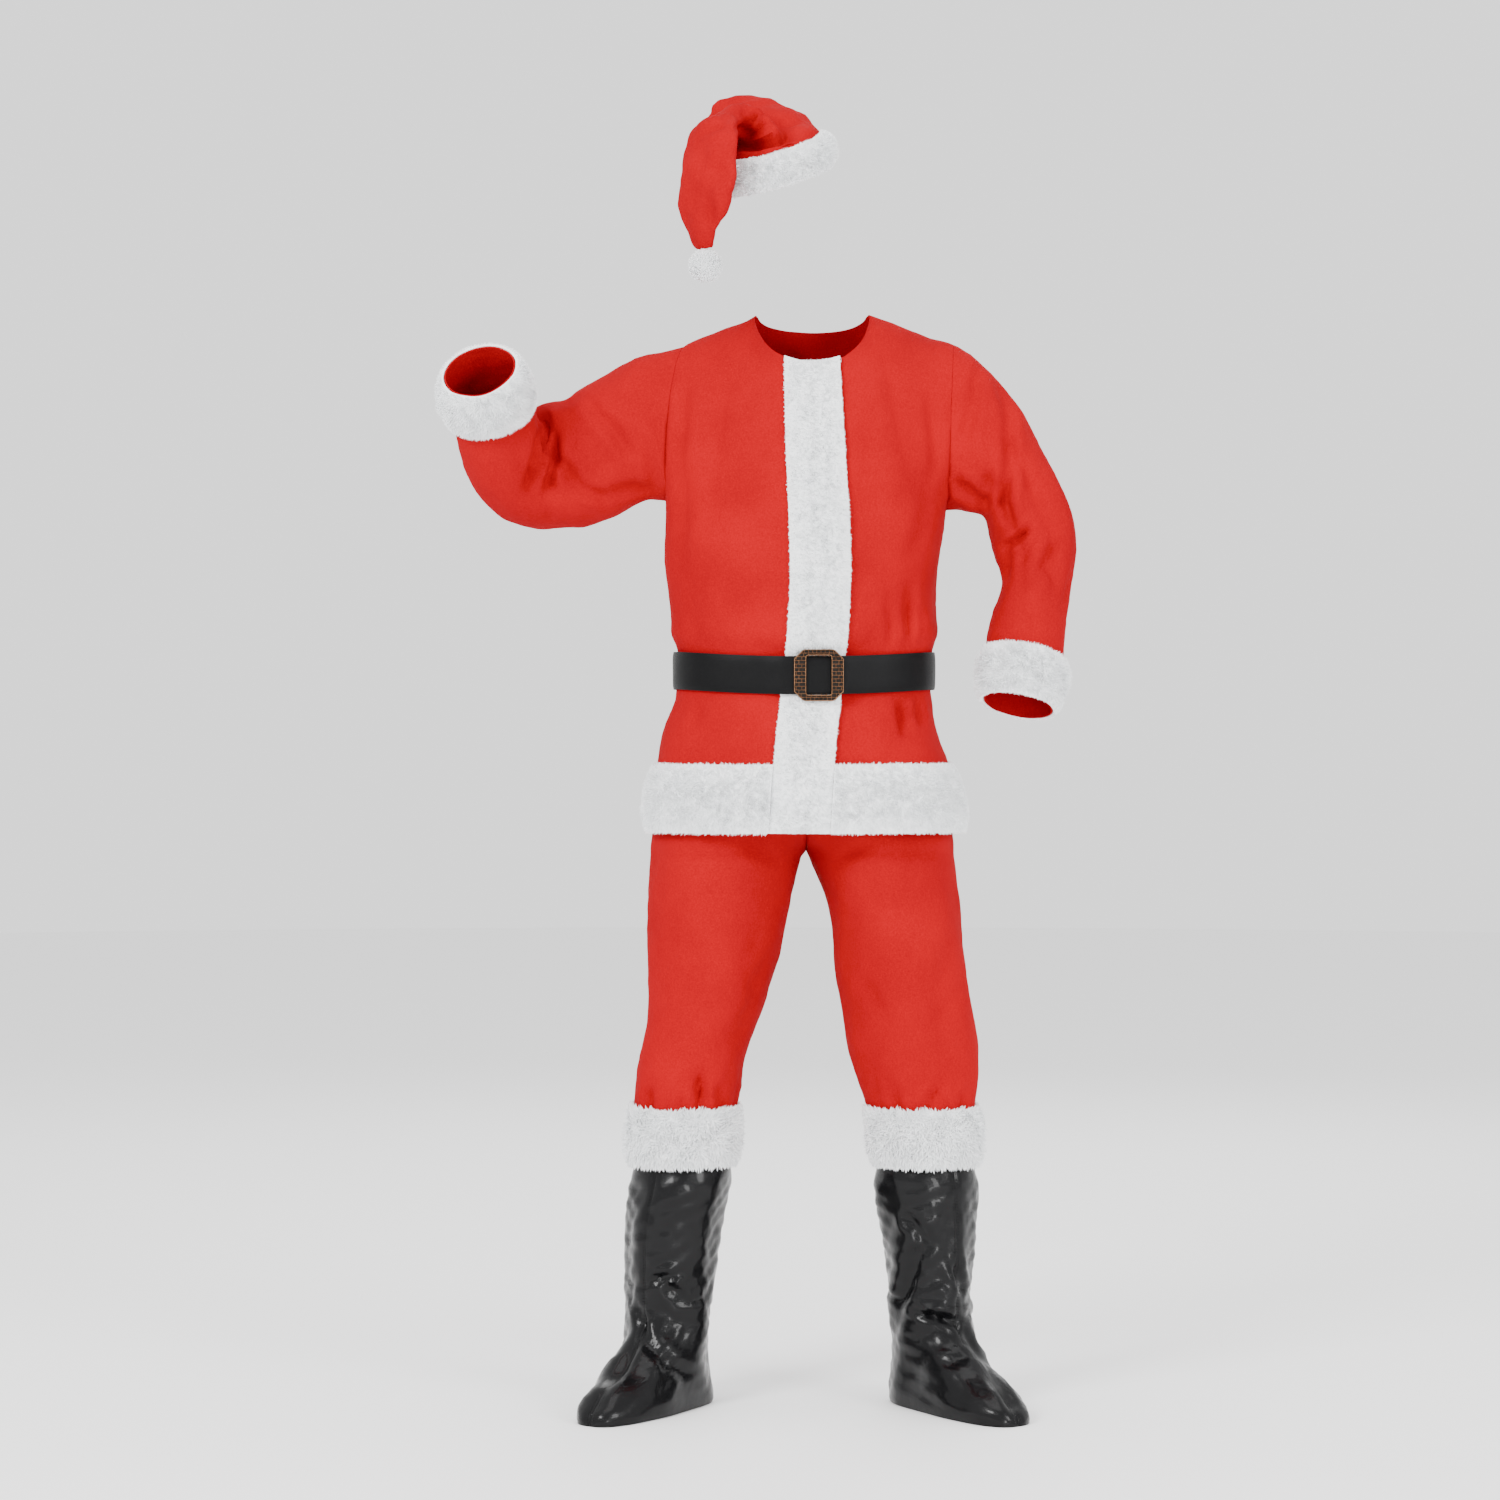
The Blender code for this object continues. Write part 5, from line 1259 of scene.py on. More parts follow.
@dataclass(frozen=True)
class Pile:
    """How a fur's pile stands: sizes in metres, shares without a unit.

    Args:
        locks: How many locks it has.
        length: A lock's length.
        width: A lock's width at its root.
        lean: How far a lock leans, as a share of its length.
        droop: How far the pile hangs, as a share of its length.
        splay: How far it leans out over a band's long edges.
        bent: Whether a lock has a bend in it.
        seed: Which random layout.
    """

    locks: int
    length: float
    width: float
    lean: float = 0.55
    droop: float = 0.25
    bent: bool = False
    seed: int = 1
    splay: float = 1.3

    def grow(self, over: Grid, normals: Grid, shares: Grid) -> tuple[Grid, Faces]:
        """Grow locks from a pad's face.

        Args:
            over: The pad's face, as a grid.
            normals: Its outward directions.
            shares: How long the pile is at each place, as a share of its length.

        Returns:
            The locks' vertices and faces.
        """
        rng = np.random.default_rng(self.seed)
        a, b, c, d = over[:-1, :-1], over[:-1, 1:], over[1:, 1:], over[1:, :-1]
        area = np.linalg.norm(np.cross(c - a, d - b), axis=-1).reshape(-1)
        cell = rng.choice(len(area), size=self.locks, p=area / area.sum())
        row, column = np.divmod(cell, over.shape[1] - 1)
        u, v = rng.random((2, self.locks))

        def at(values: Grid) -> Grid:
            """Read a grid of values at the locks' roots."""
            flat = values if values.ndim == 3 else values[..., None]
            low = flat[row, column] * (1 - u)[:, None] + flat[row, column + 1] * u[:, None]
            high = flat[row + 1, column] * (1 - u)[:, None] + flat[row + 1, column + 1] * u[:, None]
            return low * (1 - v)[:, None] + high * v[:, None]

        root, normal = at(over), unit(at(normals))
        size = self.length * at(shares) * rng.uniform(0.65, 1.15, (self.locks, 1))
        drift = np.stack([ripple(root, 0.030, self.seed + k) for k in (1, 2, 3)], axis=1)
        lean = self.lean * (0.7 * drift + 0.5 * rng.normal(size=(self.locks, 3)))
        lean[:, 2] -= self.droop
        lean = lean + self.splay * self._outwards(over, row + v, column + u)
        lean = lean - normal * (lean * normal).sum(axis=1, keepdims=True)
        way = unit(normal + lean)
        side = unit(np.cross(way, rng.normal(size=(self.locks, 3))))
        other = np.cross(way, side)
        root = root - normal * 0.0012
        width = self.width * rng.uniform(0.7, 1.25, (self.locks, 1)) / 2
        turns = (0.0, math.tau / 3, 2 * math.tau / 3)
        rings = [root + width * (math.cos(t) * side + math.sin(t) * other) for t in turns]
        tip = root + way * size
        if not self.bent:
            points = np.stack([*rings, tip], axis=1)
            faces = np.array(LOCK_FACES)
        else:
            curl = unit(lean + 0.4 * normal * rng.normal(size=(self.locks, 1)))
            middle = root + way * size * 0.55
            waist = [middle + 0.7 * width * (math.cos(t) * side + math.sin(t) * other) for t in turns]
            tip = middle + unit(way + 0.9 * curl) * size * 0.5
            points = np.stack([*rings, *waist, tip], axis=1)
            faces = np.array(BENT_LOCK_FACES)
        first = np.arange(self.locks)[:, None, None] * points.shape[1]
        return points.reshape(-1, 3), (first + faces[None]).reshape(-1, 3).tolist()

    @staticmethod
    def _outwards(over: Grid, row: Grid, column: Grid) -> Grid:
        """Work out which way locks lean near a band's long edges.

        Args:
            over: The pad's face, as a grid.
            row: Where each lock stands along the grid's rows.
            column: Where it stands across them.

        Returns:
            A direction for each lock, of length 0 in the middle of the band and 1 at its edges.
        """
        turned_over = runs(over[:, 0])[-1] > runs(over[0])[-1]
        band, place = (over.swapaxes(0, 1), column) if turned_over else (over, row)
        other = (row if turned_over else column).astype(int)
        share = 2 * place / (band.shape[0] - 1) - 1
        ahead = unit(band[-1] - band[0])[np.minimum(other, band.shape[1] - 1)]
        return ahead * (np.sign(share) * np.abs(share) ** 3)[:, None]


@dataclass(frozen=True)
class Fur:
    """A band of fur: its pad and the pile that stands on it.

    Args:
        name: The solid that it stands for.
        height: How far it stands off the cloth.
        pile: Its pile.
        backing: The share of its height that the pad has.
        edge: The share of that which its two sides have.
    """

    name: str
    height: float
    pile: Pile
    backing: float = 0.66
    edge: float = 0.3

    def heights(self, rows: Grid, shares: Grid, full: Grid | float | None = None) -> Grid:
        """Work out the pad's height everywhere on its grid.

        Args:
            rows: The grid.
            shares: Where across the band each point lies.
            full: The band's whole height, where it isn't the same all over.

        Returns:
            The heights.
        """
        whole = rounded(shares, self.height if full is None else full, self.edge)
        tufts = 0.05 * ripple(rows, 0.011, self.pile.seed + 21)
        lumps = 1 + 0.10 * ripple(rows, 0.028, self.pile.seed + 20) + tufts
        return np.broadcast_to(whole, rows.shape[:2]) * self.backing * lumps


class Finish(Enum):
    """The finishes of the suit, each with its material's name as its value."""

    RED_CLOTH = "red_cloth"
    WHITE_FUR = "white_fur"
    BLACK_STRAP = "black_strap"
    BLACK_VINYL = "black_vinyl"
    BRASS = "brass"
    BLACKENED = "brass_recess"


class NodeGroups:
    """The shader effects that more than one finish uses, each made once."""

    def __init__(self) -> None:
        self.relief = self._relief()
        self.drift = self._drift()

    @staticmethod
    def _new(
        name: str, inputs: Iterable[tuple[str, str, object]], output: tuple[str, str]
    ) -> bpy.types.NodeTree:
        """Start a node group.

        Args:
            name: Its name.
            inputs: Name, socket type and first value of each input.
            output: Name and socket type of its output.

        Returns:
            The group, with its two end nodes.
        """
        tree = bpy.data.node_groups.new(name, "ShaderNodeTree")
        for label, kind, value in inputs:
            socket = tree.interface.new_socket(name=label, in_out="INPUT", socket_type=kind)
            if value is not None:
                socket.default_value = value
        tree.interface.new_socket(name=output[0], in_out="OUTPUT", socket_type=output[1])
        tree.nodes.new("NodeGroupInput").name = "in"
        tree.nodes.new("NodeGroupOutput").name = "out"
        return tree

    def _relief(self) -> bpy.types.NodeTree:
        """Make the height of fine fibres or grain over a coarser unevenness.

        Returns:
            The node group.
        """
        tree = self._new(
            "surface_relief",
            [
                ("Point", "NodeSocketVector", None),
                ("Fine Scale", "NodeSocketFloat", 800.0),
                ("Coarse Scale", "NodeSocketFloat", 90.0),
                ("Coarse Share", "NodeSocketFloat", 0.5),
            ],
            ("Height", "NodeSocketFloat"),
        )
        source, out = tree.nodes["in"], tree.nodes["out"]
        heights = []
        for label, detail in (("Fine Scale", 3.0), ("Coarse Scale", 5.0)):
            noise = tree.nodes.new("ShaderNodeTexNoise")
            noise.inputs["Detail"].default_value = detail
            tree.links.new(source.outputs["Point"], noise.inputs["Vector"])
            tree.links.new(source.outputs[label], noise.inputs["Scale"])
            heights.append(noise.outputs["Fac"])
        mix = tree.nodes.new("ShaderNodeMix")
        tree.links.new(source.outputs["Coarse Share"], mix.inputs[0])
        tree.links.new(heights[0], mix.inputs[2])
        tree.links.new(heights[1], mix.inputs[3])
        tree.links.new(mix.outputs[0], out.inputs["Height"])
        return tree

    def _drift(self) -> bpy.types.NodeTree:
        """Make a colour that drifts between two tones, with a finer fleck in it.

        Returns:
            The node group.
        """
        tree = self._new(
            "tone_drift",
            [
                ("Point", "NodeSocketVector", None),
                ("Scale", "NodeSocketFloat", 12.0),
                ("Fleck Scale", "NodeSocketFloat", 240.0),
                ("Light", "NodeSocketColor", (0.8, 0.8, 0.8, 1.0)),
                ("Dark", "NodeSocketColor", (0.5, 0.5, 0.5, 1.0)),
            ],
            ("Colour", "NodeSocketColor"),
        )
        source, out = tree.nodes["in"], tree.nodes["out"]
        parts = []
        for label in ("Scale", "Fleck Scale"):
            noise = tree.nodes.new("ShaderNodeTexNoise")
            noise.inputs["Detail"].default_value = 4.0
            tree.links.new(source.outputs["Point"], noise.inputs["Vector"])
            tree.links.new(source.outputs[label], noise.inputs["Scale"])
            parts.append(noise.outputs["Fac"])
        both = tree.nodes.new("ShaderNodeMath")
        both.operation = "ADD"
        tree.links.new(parts[0], both.inputs[0])
        tree.links.new(parts[1], both.inputs[1])
        ramp = tree.nodes.new("ShaderNodeMapRange")
        ramp.inputs["From Min"].default_value = 0.75
        ramp.inputs["From Max"].default_value = 1.25
        tree.links.new(both.outputs[0], ramp.inputs["Value"])
        mix = tree.nodes.new("ShaderNodeMix")
        mix.data_type = "RGBA"
        tree.links.new(ramp.outputs["Result"], mix.inputs[0])
        tree.links.new(source.outputs["Light"], mix.inputs[6])
        tree.links.new(source.outputs["Dark"], mix.inputs[7])
        tree.links.new(mix.outputs[2], out.inputs["Colour"])
        return tree


@dataclass(frozen=True)
class Surface:
    """One finish, as numbers.

    Args:
        light: Its lighter tone.
        dark: Its darker tone.
        drift: How fine its tones are, in waves a metre.
        fleck: How fine its flecks are.
        roughness: How rough it is.
        fine: How fine its relief is.
        coarse: How fine the unevenness under that is.
        coarse_share: How much of its relief is that unevenness.
        depth: How deep its relief is, in metres.
        metallic: How metallic it is.
        specular: How strongly it reflects.
        sheen: How much sheen its fibres have.
        sheen_tint: The sheen's colour.
        coat: How much clear coat it has.
        coat_roughness: How rough that coat is.
    """

    light: tuple[float, float, float]
    dark: tuple[float, float, float]
    drift: float
    fleck: float
    roughness: float
    fine: float
    coarse: float
    coarse_share: float
    depth: float
    metallic: float = 0.0
    specular: float = 0.5
    sheen: float = 0.0
    sheen_tint: tuple[float, float, float] = (1.0, 1.0, 1.0)
    coat: float = 0.0
    coat_roughness: float = 0.1

    def build(self, name: str, groups: NodeGroups) -> bpy.types.Material:
        """Make the material.

        Args:
            name: Its name.
            groups: The shared shader effects.

        Returns:
            The material.
        """
        made = bpy.data.materials.new(name)
        made.use_nodes = True
        nodes, links = made.node_tree.nodes, made.node_tree.links
        shader = nodes["Principled BSDF"]
        shader.inputs["Roughness"].default_value = self.roughness
        shader.inputs["Metallic"].default_value = self.metallic
        shader.inputs["Specular IOR Level"].default_value = self.specular
        shader.inputs["Sheen Weight"].default_value = self.sheen
        shader.inputs["Sheen Roughness"].default_value = 0.5
        shader.inputs["Sheen Tint"].default_value = (*self.sheen_tint, 1.0)
        shader.inputs["Coat Weight"].default_value = self.coat
        shader.inputs["Coat Roughness"].default_value = self.coat_roughness
        point = nodes.new("ShaderNodeTexCoord").outputs["Object"]
        tones = nodes.new("ShaderNodeGroup")
        tones.node_tree = groups.drift
        tones.inputs["Scale"].default_value = self.drift
        tones.inputs["Fleck Scale"].default_value = self.fleck
        tones.inputs["Light"].default_value = (*self.light, 1.0)
        tones.inputs["Dark"].default_value = (*self.dark, 1.0)
        links.new(point, tones.inputs["Point"])
        links.new(tones.outputs["Colour"], shader.inputs["Base Color"])
        relief = nodes.new("ShaderNodeGroup")
        relief.node_tree = groups.relief
        relief.inputs["Fine Scale"].default_value = self.fine
        relief.inputs["Coarse Scale"].default_value = self.coarse
        relief.inputs["Coarse Share"].default_value = self.coarse_share
        links.new(point, relief.inputs["Point"])
        bump = nodes.new("ShaderNodeBump")
        bump.inputs["Strength"].default_value = 1.0
        bump.inputs["Distance"].default_value = self.depth
        links.new(relief.outputs["Height"], bump.inputs["Height"])
        links.new(bump.outputs["Normal"], shader.inputs["Normal"])
        return made


SURFACES = {
    Finish.RED_CLOTH: Surface(
        (0.350, 0.0006, 0.0050), (0.265, 0.0005, 0.0040), 9.0, 420.0, 0.92, 1300.0, 240.0, 0.45, 0.0010,
        specular=0.04,
    ),
    Finish.WHITE_FUR: Surface(
        (0.930, 0.940, 0.945), (0.820, 0.835, 0.845), 26.0, 160.0, 0.95, 900.0, 160.0, 0.5, 0.0010,
        specular=0.2, sheen=0.2,
    ),
    Finish.BLACK_STRAP: Surface(
        (0.0040, 0.0040, 0.0043), (0.0025, 0.0025, 0.0028), 14.0, 300.0, 0.42, 1500.0, 220.0, 0.3, 0.0003,
        specular=0.08,
    ),
    Finish.BLACK_VINYL: Surface(
        (0.0030, 0.0030, 0.0034), (0.0018, 0.0018, 0.0022), 12.0, 260.0, 0.22, 700.0, 90.0, 0.6, 0.0007,
        specular=0.12, coat=0.14, coat_roughness=0.08,
    ),
    Finish.BRASS: Surface(
        (0.400, 0.200, 0.100), (0.180, 0.090, 0.045), 120.0, 900.0, 0.34, 2400.0, 500.0, 0.5, 0.0002,
        metallic=1.0,
    ),
    Finish.BLACKENED: Surface(
        (0.012, 0.009, 0.007), (0.005, 0.004, 0.003), 90.0, 700.0, 0.55, 2400.0, 500.0, 0.5, 0.0002,
        metallic=0.4, specular=0.2,
    ),
}


class Workshop:
    """Makes objects out of meshes, finishes them and puts them on the frame."""

    def __init__(self) -> None:
        groups = NodeGroups()
        self.materials = {finish: surface.build(finish.value, groups) for finish, surface in SURFACES.items()}
        self.pieces: list[str] = []

    def add(
        self, name: str, vertices: Grid, faces: Faces, finish: Finish, replaces: Sequence[str] = ()
    ) -> bpy.types.Object:
        """Make one piece.

        Args:
            name: Its name.
            vertices: Its points, with heights above the ground.
            faces: Its faces.
            finish: Its finish.
            replaces: The CAD nodes that it stands for.

        Returns:
            The piece, riding on the suit's one body.
        """
        mesh = bpy.data.meshes.new(name)
        moved = np.asarray(vertices, float) - (0.0, 0.0, SHOULDER_HEIGHT)
        mesh.from_pydata(moved.tolist(), [], faces)
        mesh.polygons.foreach_set("use_smooth", np.ones(len(mesh.polygons), bool))
        mesh.set_sharp_from_angle(angle=math.radians(60))
        mesh.materials.append(self.materials[finish])
        made = bpy.data.objects.new(name, mesh)
        bpy.context.scene.collection.objects.link(made)
        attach(made, "root")
        if replaces:
            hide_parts(*replaces)
        self.pieces.append(name)
        return made

    def cloth(
        self, name: str, wall: tuple[Grid, Faces], cut: Grid, finish: Finish = Finish.RED_CLOTH,
        held: str = "hung",
    ) -> bpy.types.Object:
        """Make one panel of cloth and report its cut.

        Args:
            name: The solid that it stands for.
            wall: Its vertices and faces.
            cut: The panel's grid before any crease, from which its flat size is read.
            finish: Its finish.
            held: How the cloth is held.

        Returns:
            The piece.
        """
        made = self.add(name + "_cloth", *wall, finish, (name,))
        self.declare(made, cut, held)
        return made

    def declare(
        self, piece: bpy.types.Object, cut: Grid, held: str
    ) -> None:
        """Report a sheet's cut.

        Args:
            piece: The sheet.
            cut: Its grid before any crease.
            held: How the cloth is held; not used.
        """
        width = max(runs(row)[-1] for row in cut)
        length = max(runs(cut[:, k])[-1] for k in range(cut.shape[1]))
        a, b, c, d = cut[:-1, :-1], cut[:-1, 1:], cut[1:, 1:], cut[1:, :-1]
        area = float(np.linalg.norm(np.cross(c - a, d - b), axis=-1).sum() / 2)
        area = min(area, width * length)
        LOG.info("cut %s %.3f x %.3f m, %.4f m2", piece.name, width, length, area)

    def fur(
        self, fur: Fur, rows: Grid, normals: Grid, shares: Grid, full: Grid | float | None = None,
        outward: int = 1, base: float = LAY_GAP,
    ) -> bpy.types.Object:
        """Make a band of fur: its backing, and the pile on it.

        Args:
            fur: The band.
            rows: The grid of the cloth under it.
            normals: That grid's outward directions.
            shares: Where across the band each point lies.
            full: Its whole height, where it isn't the same all over.
            outward: -1 where the grid's faces would point inwards.
            base: How far its back lies off the cloth.

        Returns:
            The backing.
        """
        heights = fur.heights(rows, shares, full)
        pad = fur_on(rows, normals, heights, outward, base)
        backing = self.add(fur.name + "_backing", *pad, Finish.WHITE_FUR, (fur.name,))
        over = rows + normals * (base + heights)[..., None]
        lengths = np.broadcast_to(heights / (fur.height * fur.backing), rows.shape[:2])
        locks = fur.pile.grow(over, normals, 0.35 + 0.65 * np.clip(lengths, 0, 1.2))
        pile = self.add(fur.name + "_pile", *locks, Finish.WHITE_FUR)
        self.declare(backing, rows, "hung")
        return backing


def width_shares(row: Grid) -> Grid:
    """Work out how far across a row each of its points lies."""
    run = runs(row)
    return run / run[-1]


def stitches(
    path: Grid, normals: Grid, pitch: float = 0.0044, length: float = 0.0031, radius: float = 0.00045
) -> tuple[Grid, Faces]:
    """Lay a row of stitches along a line of cloth.

    Args:
        path: The line's points.
        normals: The outward directions there.
        pitch: From one stitch to the next.
        length: A stitch's length.
        radius: Its thread's radius.

    Returns:
        The stitches' vertices and faces.
    """
    run = runs(path)
    at = np.arange(pitch, run[-1] - pitch, pitch)
    middle = at_lengths(path, at)
    ahead = unit(at_lengths(path, at + length / 2) - at_lengths(path, at - length / 2))
    up = unit(np.stack([np.interp(at, run, normals[:, k]) for k in range(3)], axis=1))
    side = unit(np.cross(ahead, up))
    middle = middle + up * radius * 0.4
    ends = [middle - ahead * length / 2 - up * radius, middle + ahead * length / 2 - up * radius]
    waist = [middle + way * radius for way in (side, up, -side, -up)]
    points = np.stack([ends[0], *waist, ends[1]], axis=1)
    faces = np.array([(0, 2, 1), (0, 3, 2), (0, 4, 3), (0, 1, 4), (5, 1, 2), (5, 2, 3), (5, 3, 4), (5, 4, 1)])
    first = np.arange(len(at))[:, None, None] * 6
    return points.reshape(-1, 3), (first + faces[None]).reshape(-1, 3).tolist()


def joined(parts: Iterable[tuple[Grid, Faces]]) -> tuple[Grid, Faces]:
    """Join meshes into one.

    Args:
        parts: Their vertices and faces.

    Returns:
        All their vertices and faces.
    """
    vertices, faces, count = [], [], 0
    for points, found in parts:
        vertices.append(np.asarray(points, float))
        faces.extend([[k + count for k in face] for face in found])
        count += len(points)
    return np.concatenate(vertices), faces


@dataclass
class Jacket:
    """The jacket: two fronts that lap, a back, two sleeves and four bands of fur.

    Args:
        cloth: How thick its cloth is.
        wave: How deep its broad, soft waves are.
        crumple: How deep its small ones are.
        gather: How deep the pleats beside the belt are.
        blouse: How far the cloth stands out over the belt.
    """

    cloth: float = CLOTH
    wave: float = 0.0022
    crumple: float = 0.0008
    gather: float = 0.0018
    blouse: float = 0.0035
    front: Fur = Fur("front_fur", FRONT_FUR, Pile(19000, 0.0062, 0.0022, seed=3))
    hem: Fur = Fur("hem_fur", HEM_FUR, Pile(42000, 0.0078, 0.0023, droop=0.40, seed=4, splay=1.9), edge=0.35)
    cuffs: dict[str, Fur] = field(
        default_factory=lambda: {
            side: Fur("cuff_fur_" + side, CUFF_FUR, Pile(13500, 0.0084, 0.0023, seed=5 + k))
            for k, side in enumerate(("right", "left"))
        }
    )

    def lift(self, points: Grid, normals: Grid) -> Grid:
        """Work out the jacket's creases.

        Args:
            points: Points of its cloth.
            normals: The outward directions there.

        Returns:
            How far out each point moves.
        """
        x, height = points[:, 0], points[:, 2]
        away = np.abs(height - BELT_HEIGHT - BELT_RISE * (x / BELT_HALF_WIDTH) ** 2)
        body = smoothstep((0.240 - np.abs(x)) / 0.020)
        free = 1 - body * (1 - smoothstep((away - BELT_HALF_HEIGHT) / 0.030))
        rise = self.wave * ripple(points, 0.170, 3, (1, 1, 2.0))
        rise = rise + self.crumple * ripple(points, 0.060, 4, (1, 1, 1.6))
        rise = rise + 0.4 * self.crumple * ripple(points, 0.022, 5)
        beside = np.exp(-(((away - 0.042) / 0.026) ** 2)) * body
        rise = rise + self.gather * beside * ripple(points, 0.030, 6, (1, 1, 8.0))
        above = (height > BELT_HEIGHT) * np.exp(-(((away - 0.052) / 0.020) ** 2)) * body
        rise = rise + self.blouse * above
        facing = smoothstep((-normals[:, 1] - 0.1) / 0.4)
        rise = rise - front_folds(FINE_JACKET_FOLDS, x, height) * facing * body
        rise = rise + creased(points, normals, JACKET_CREASES)
        rise = rise + creased(points, normals, JACKET_BACK_CREASES, 1)
        return rise * free

    def build(self, shop: Workshop) -> None:
        """Make the jacket.

        Args:
            shop: Where its pieces are made.
        """
        plain = {**front_rows(), "back": back_rows()}
        sleeves = {side: sleeve_rows(side) for side in ("right", "left")}
        shape = Cloth()
        numbers = {
            "right": shape.grid("right", plain["right"], -1),
            "back": shape.grid("back", plain["back"], -1),
            "left": shape.grid("left", plain["left"]),
            "sleeve_right": shape.grid("sleeve_right", sleeves["right"]),
            "sleeve_left": shape.grid("sleeve_left", sleeves["left"], -1),
        }
        shape.relax(self.lift)
        points, directions = np.array(shape.points), shape.normals()
        grids = {name: points[found] for name, found in numbers.items()}
        normals = {name: directions[found] for name, found in numbers.items()}
        shares = width_shares(plain["left"][0])
        drop = UNDERLAP_DROP * (1 - smoothstep((shares - UNDERLAP_FADE[0]) / UNDERLAP_FADE[1]))
        cloth = Cloth()
        cloth.grid("jacket_front_right", grids["right"], -1)
        cloth.grid("jacket_front_left", grids["left"] - normals["left"] * drop[None, :, None])
        cloth.grid("jacket_back", grids["back"], -1)
        cloth.grid("sleeve_right", grids["sleeve_right"])
        cloth.grid("sleeve_left", grids["sleeve_left"], -1)
        cuts = {
            "jacket_front_right": plain["right"],
            "jacket_front_left": plain["left"],
            "jacket_back": plain["back"],
            "sleeve_right": sleeves["right"],
            "sleeve_left": sleeves["left"],
        }
        for name, cut in cuts.items():
            shop.cloth(name, cloth.wall(name, self.cloth), cut)
        for side in ("right", "left"):
            self._cuff(shop, side, grids["sleeve_" + side])
        self._front(shop, grids["right"], normals["right"])
        self._hem(shop, grids, normals)

    def _cuff(self, shop: Workshop, side: str, rings: Grid) -> None:
        """Make the fur of one cuff.

        Args:
            shop: Where it is made.
            side: "right" or "left".
            rings: The sleeve's rings.
        """
        run = runs(rings[:, :-1].mean(axis=1))
        band = rings[run > run[-1] - CUFF_LENGTH[side]]
        outward = 1 if side == "right" else -1
        share = np.linspace(0, 1, len(band))[:, None]
        ways = grid_normals(band, outward)
        shop.fur(self.cuffs[side], band, ways, share, outward=outward, base=2 * LAY_GAP)

    def _front(self, shop: Workshop, grid: Grid, normals: Grid) -> None:
        """Make the fur down the front, which the belt presses flat.

        Args:
            shop: Where it is made.
            grid: The right front.
            normals: Its outward directions.
        """
        columns = len(LAP_STEPS) + len(BAND_STEPS) - 1
        band = grid[:, :columns]
        height = band[:, 0, 2]
        pressed = np.exp(-(((height - BELT_HEIGHT) / BELT_PRESS_HALF_HEIGHT) ** 4))
        full = FRONT_FUR + (FRONT_FUR_UNDER_BELT - FRONT_FUR) * pressed
        full[[0, -1]] *= 0.5
        share = width_shares(band[0])[None]
        shop.fur(self.front, band, normals[:, :columns], share, full[:, None], outward=-1)

    def _hem(self, shop: Workshop, grids: dict[str, Grid], normals: dict[str, Grid]) -> None:
        """Make the fur round the hem, from the front fur's edge round the back to the left opening edge.

        Args:
            shop: Where it is made.
            grids: The panels' grids.
            normals: Their outward directions.
        """
        rows = BODY_HEIGHTS.index(HEM_FUR_TOP) + 1
        skip = len(LAP_STEPS) + len(BAND_STEPS) - 2

        def whole(grid: dict[str, Grid]) -> Grid:
            """Join the low rows of the three panels into one grid."""
            right, left = grid["right"][:rows, skip:], grid["left"][:rows, len(LAP_STEPS) - 1 :]
            return np.concatenate([right, grid["back"][:rows, 1:], left[:, -2::-1]], axis=1)[:, ::-1].copy()

        band = whole(grids)
        band[:, 0] += 2 * SEAM_GAP * unit(band[:, 1] - band[:, 0])
        band[:, -1] += 2 * SEAM_GAP * unit(band[:, -2] - band[:, -1])
        share = np.linspace(0, 1, rows)[:, None]
        shop.fur(self.hem, band, whole(normals), share)


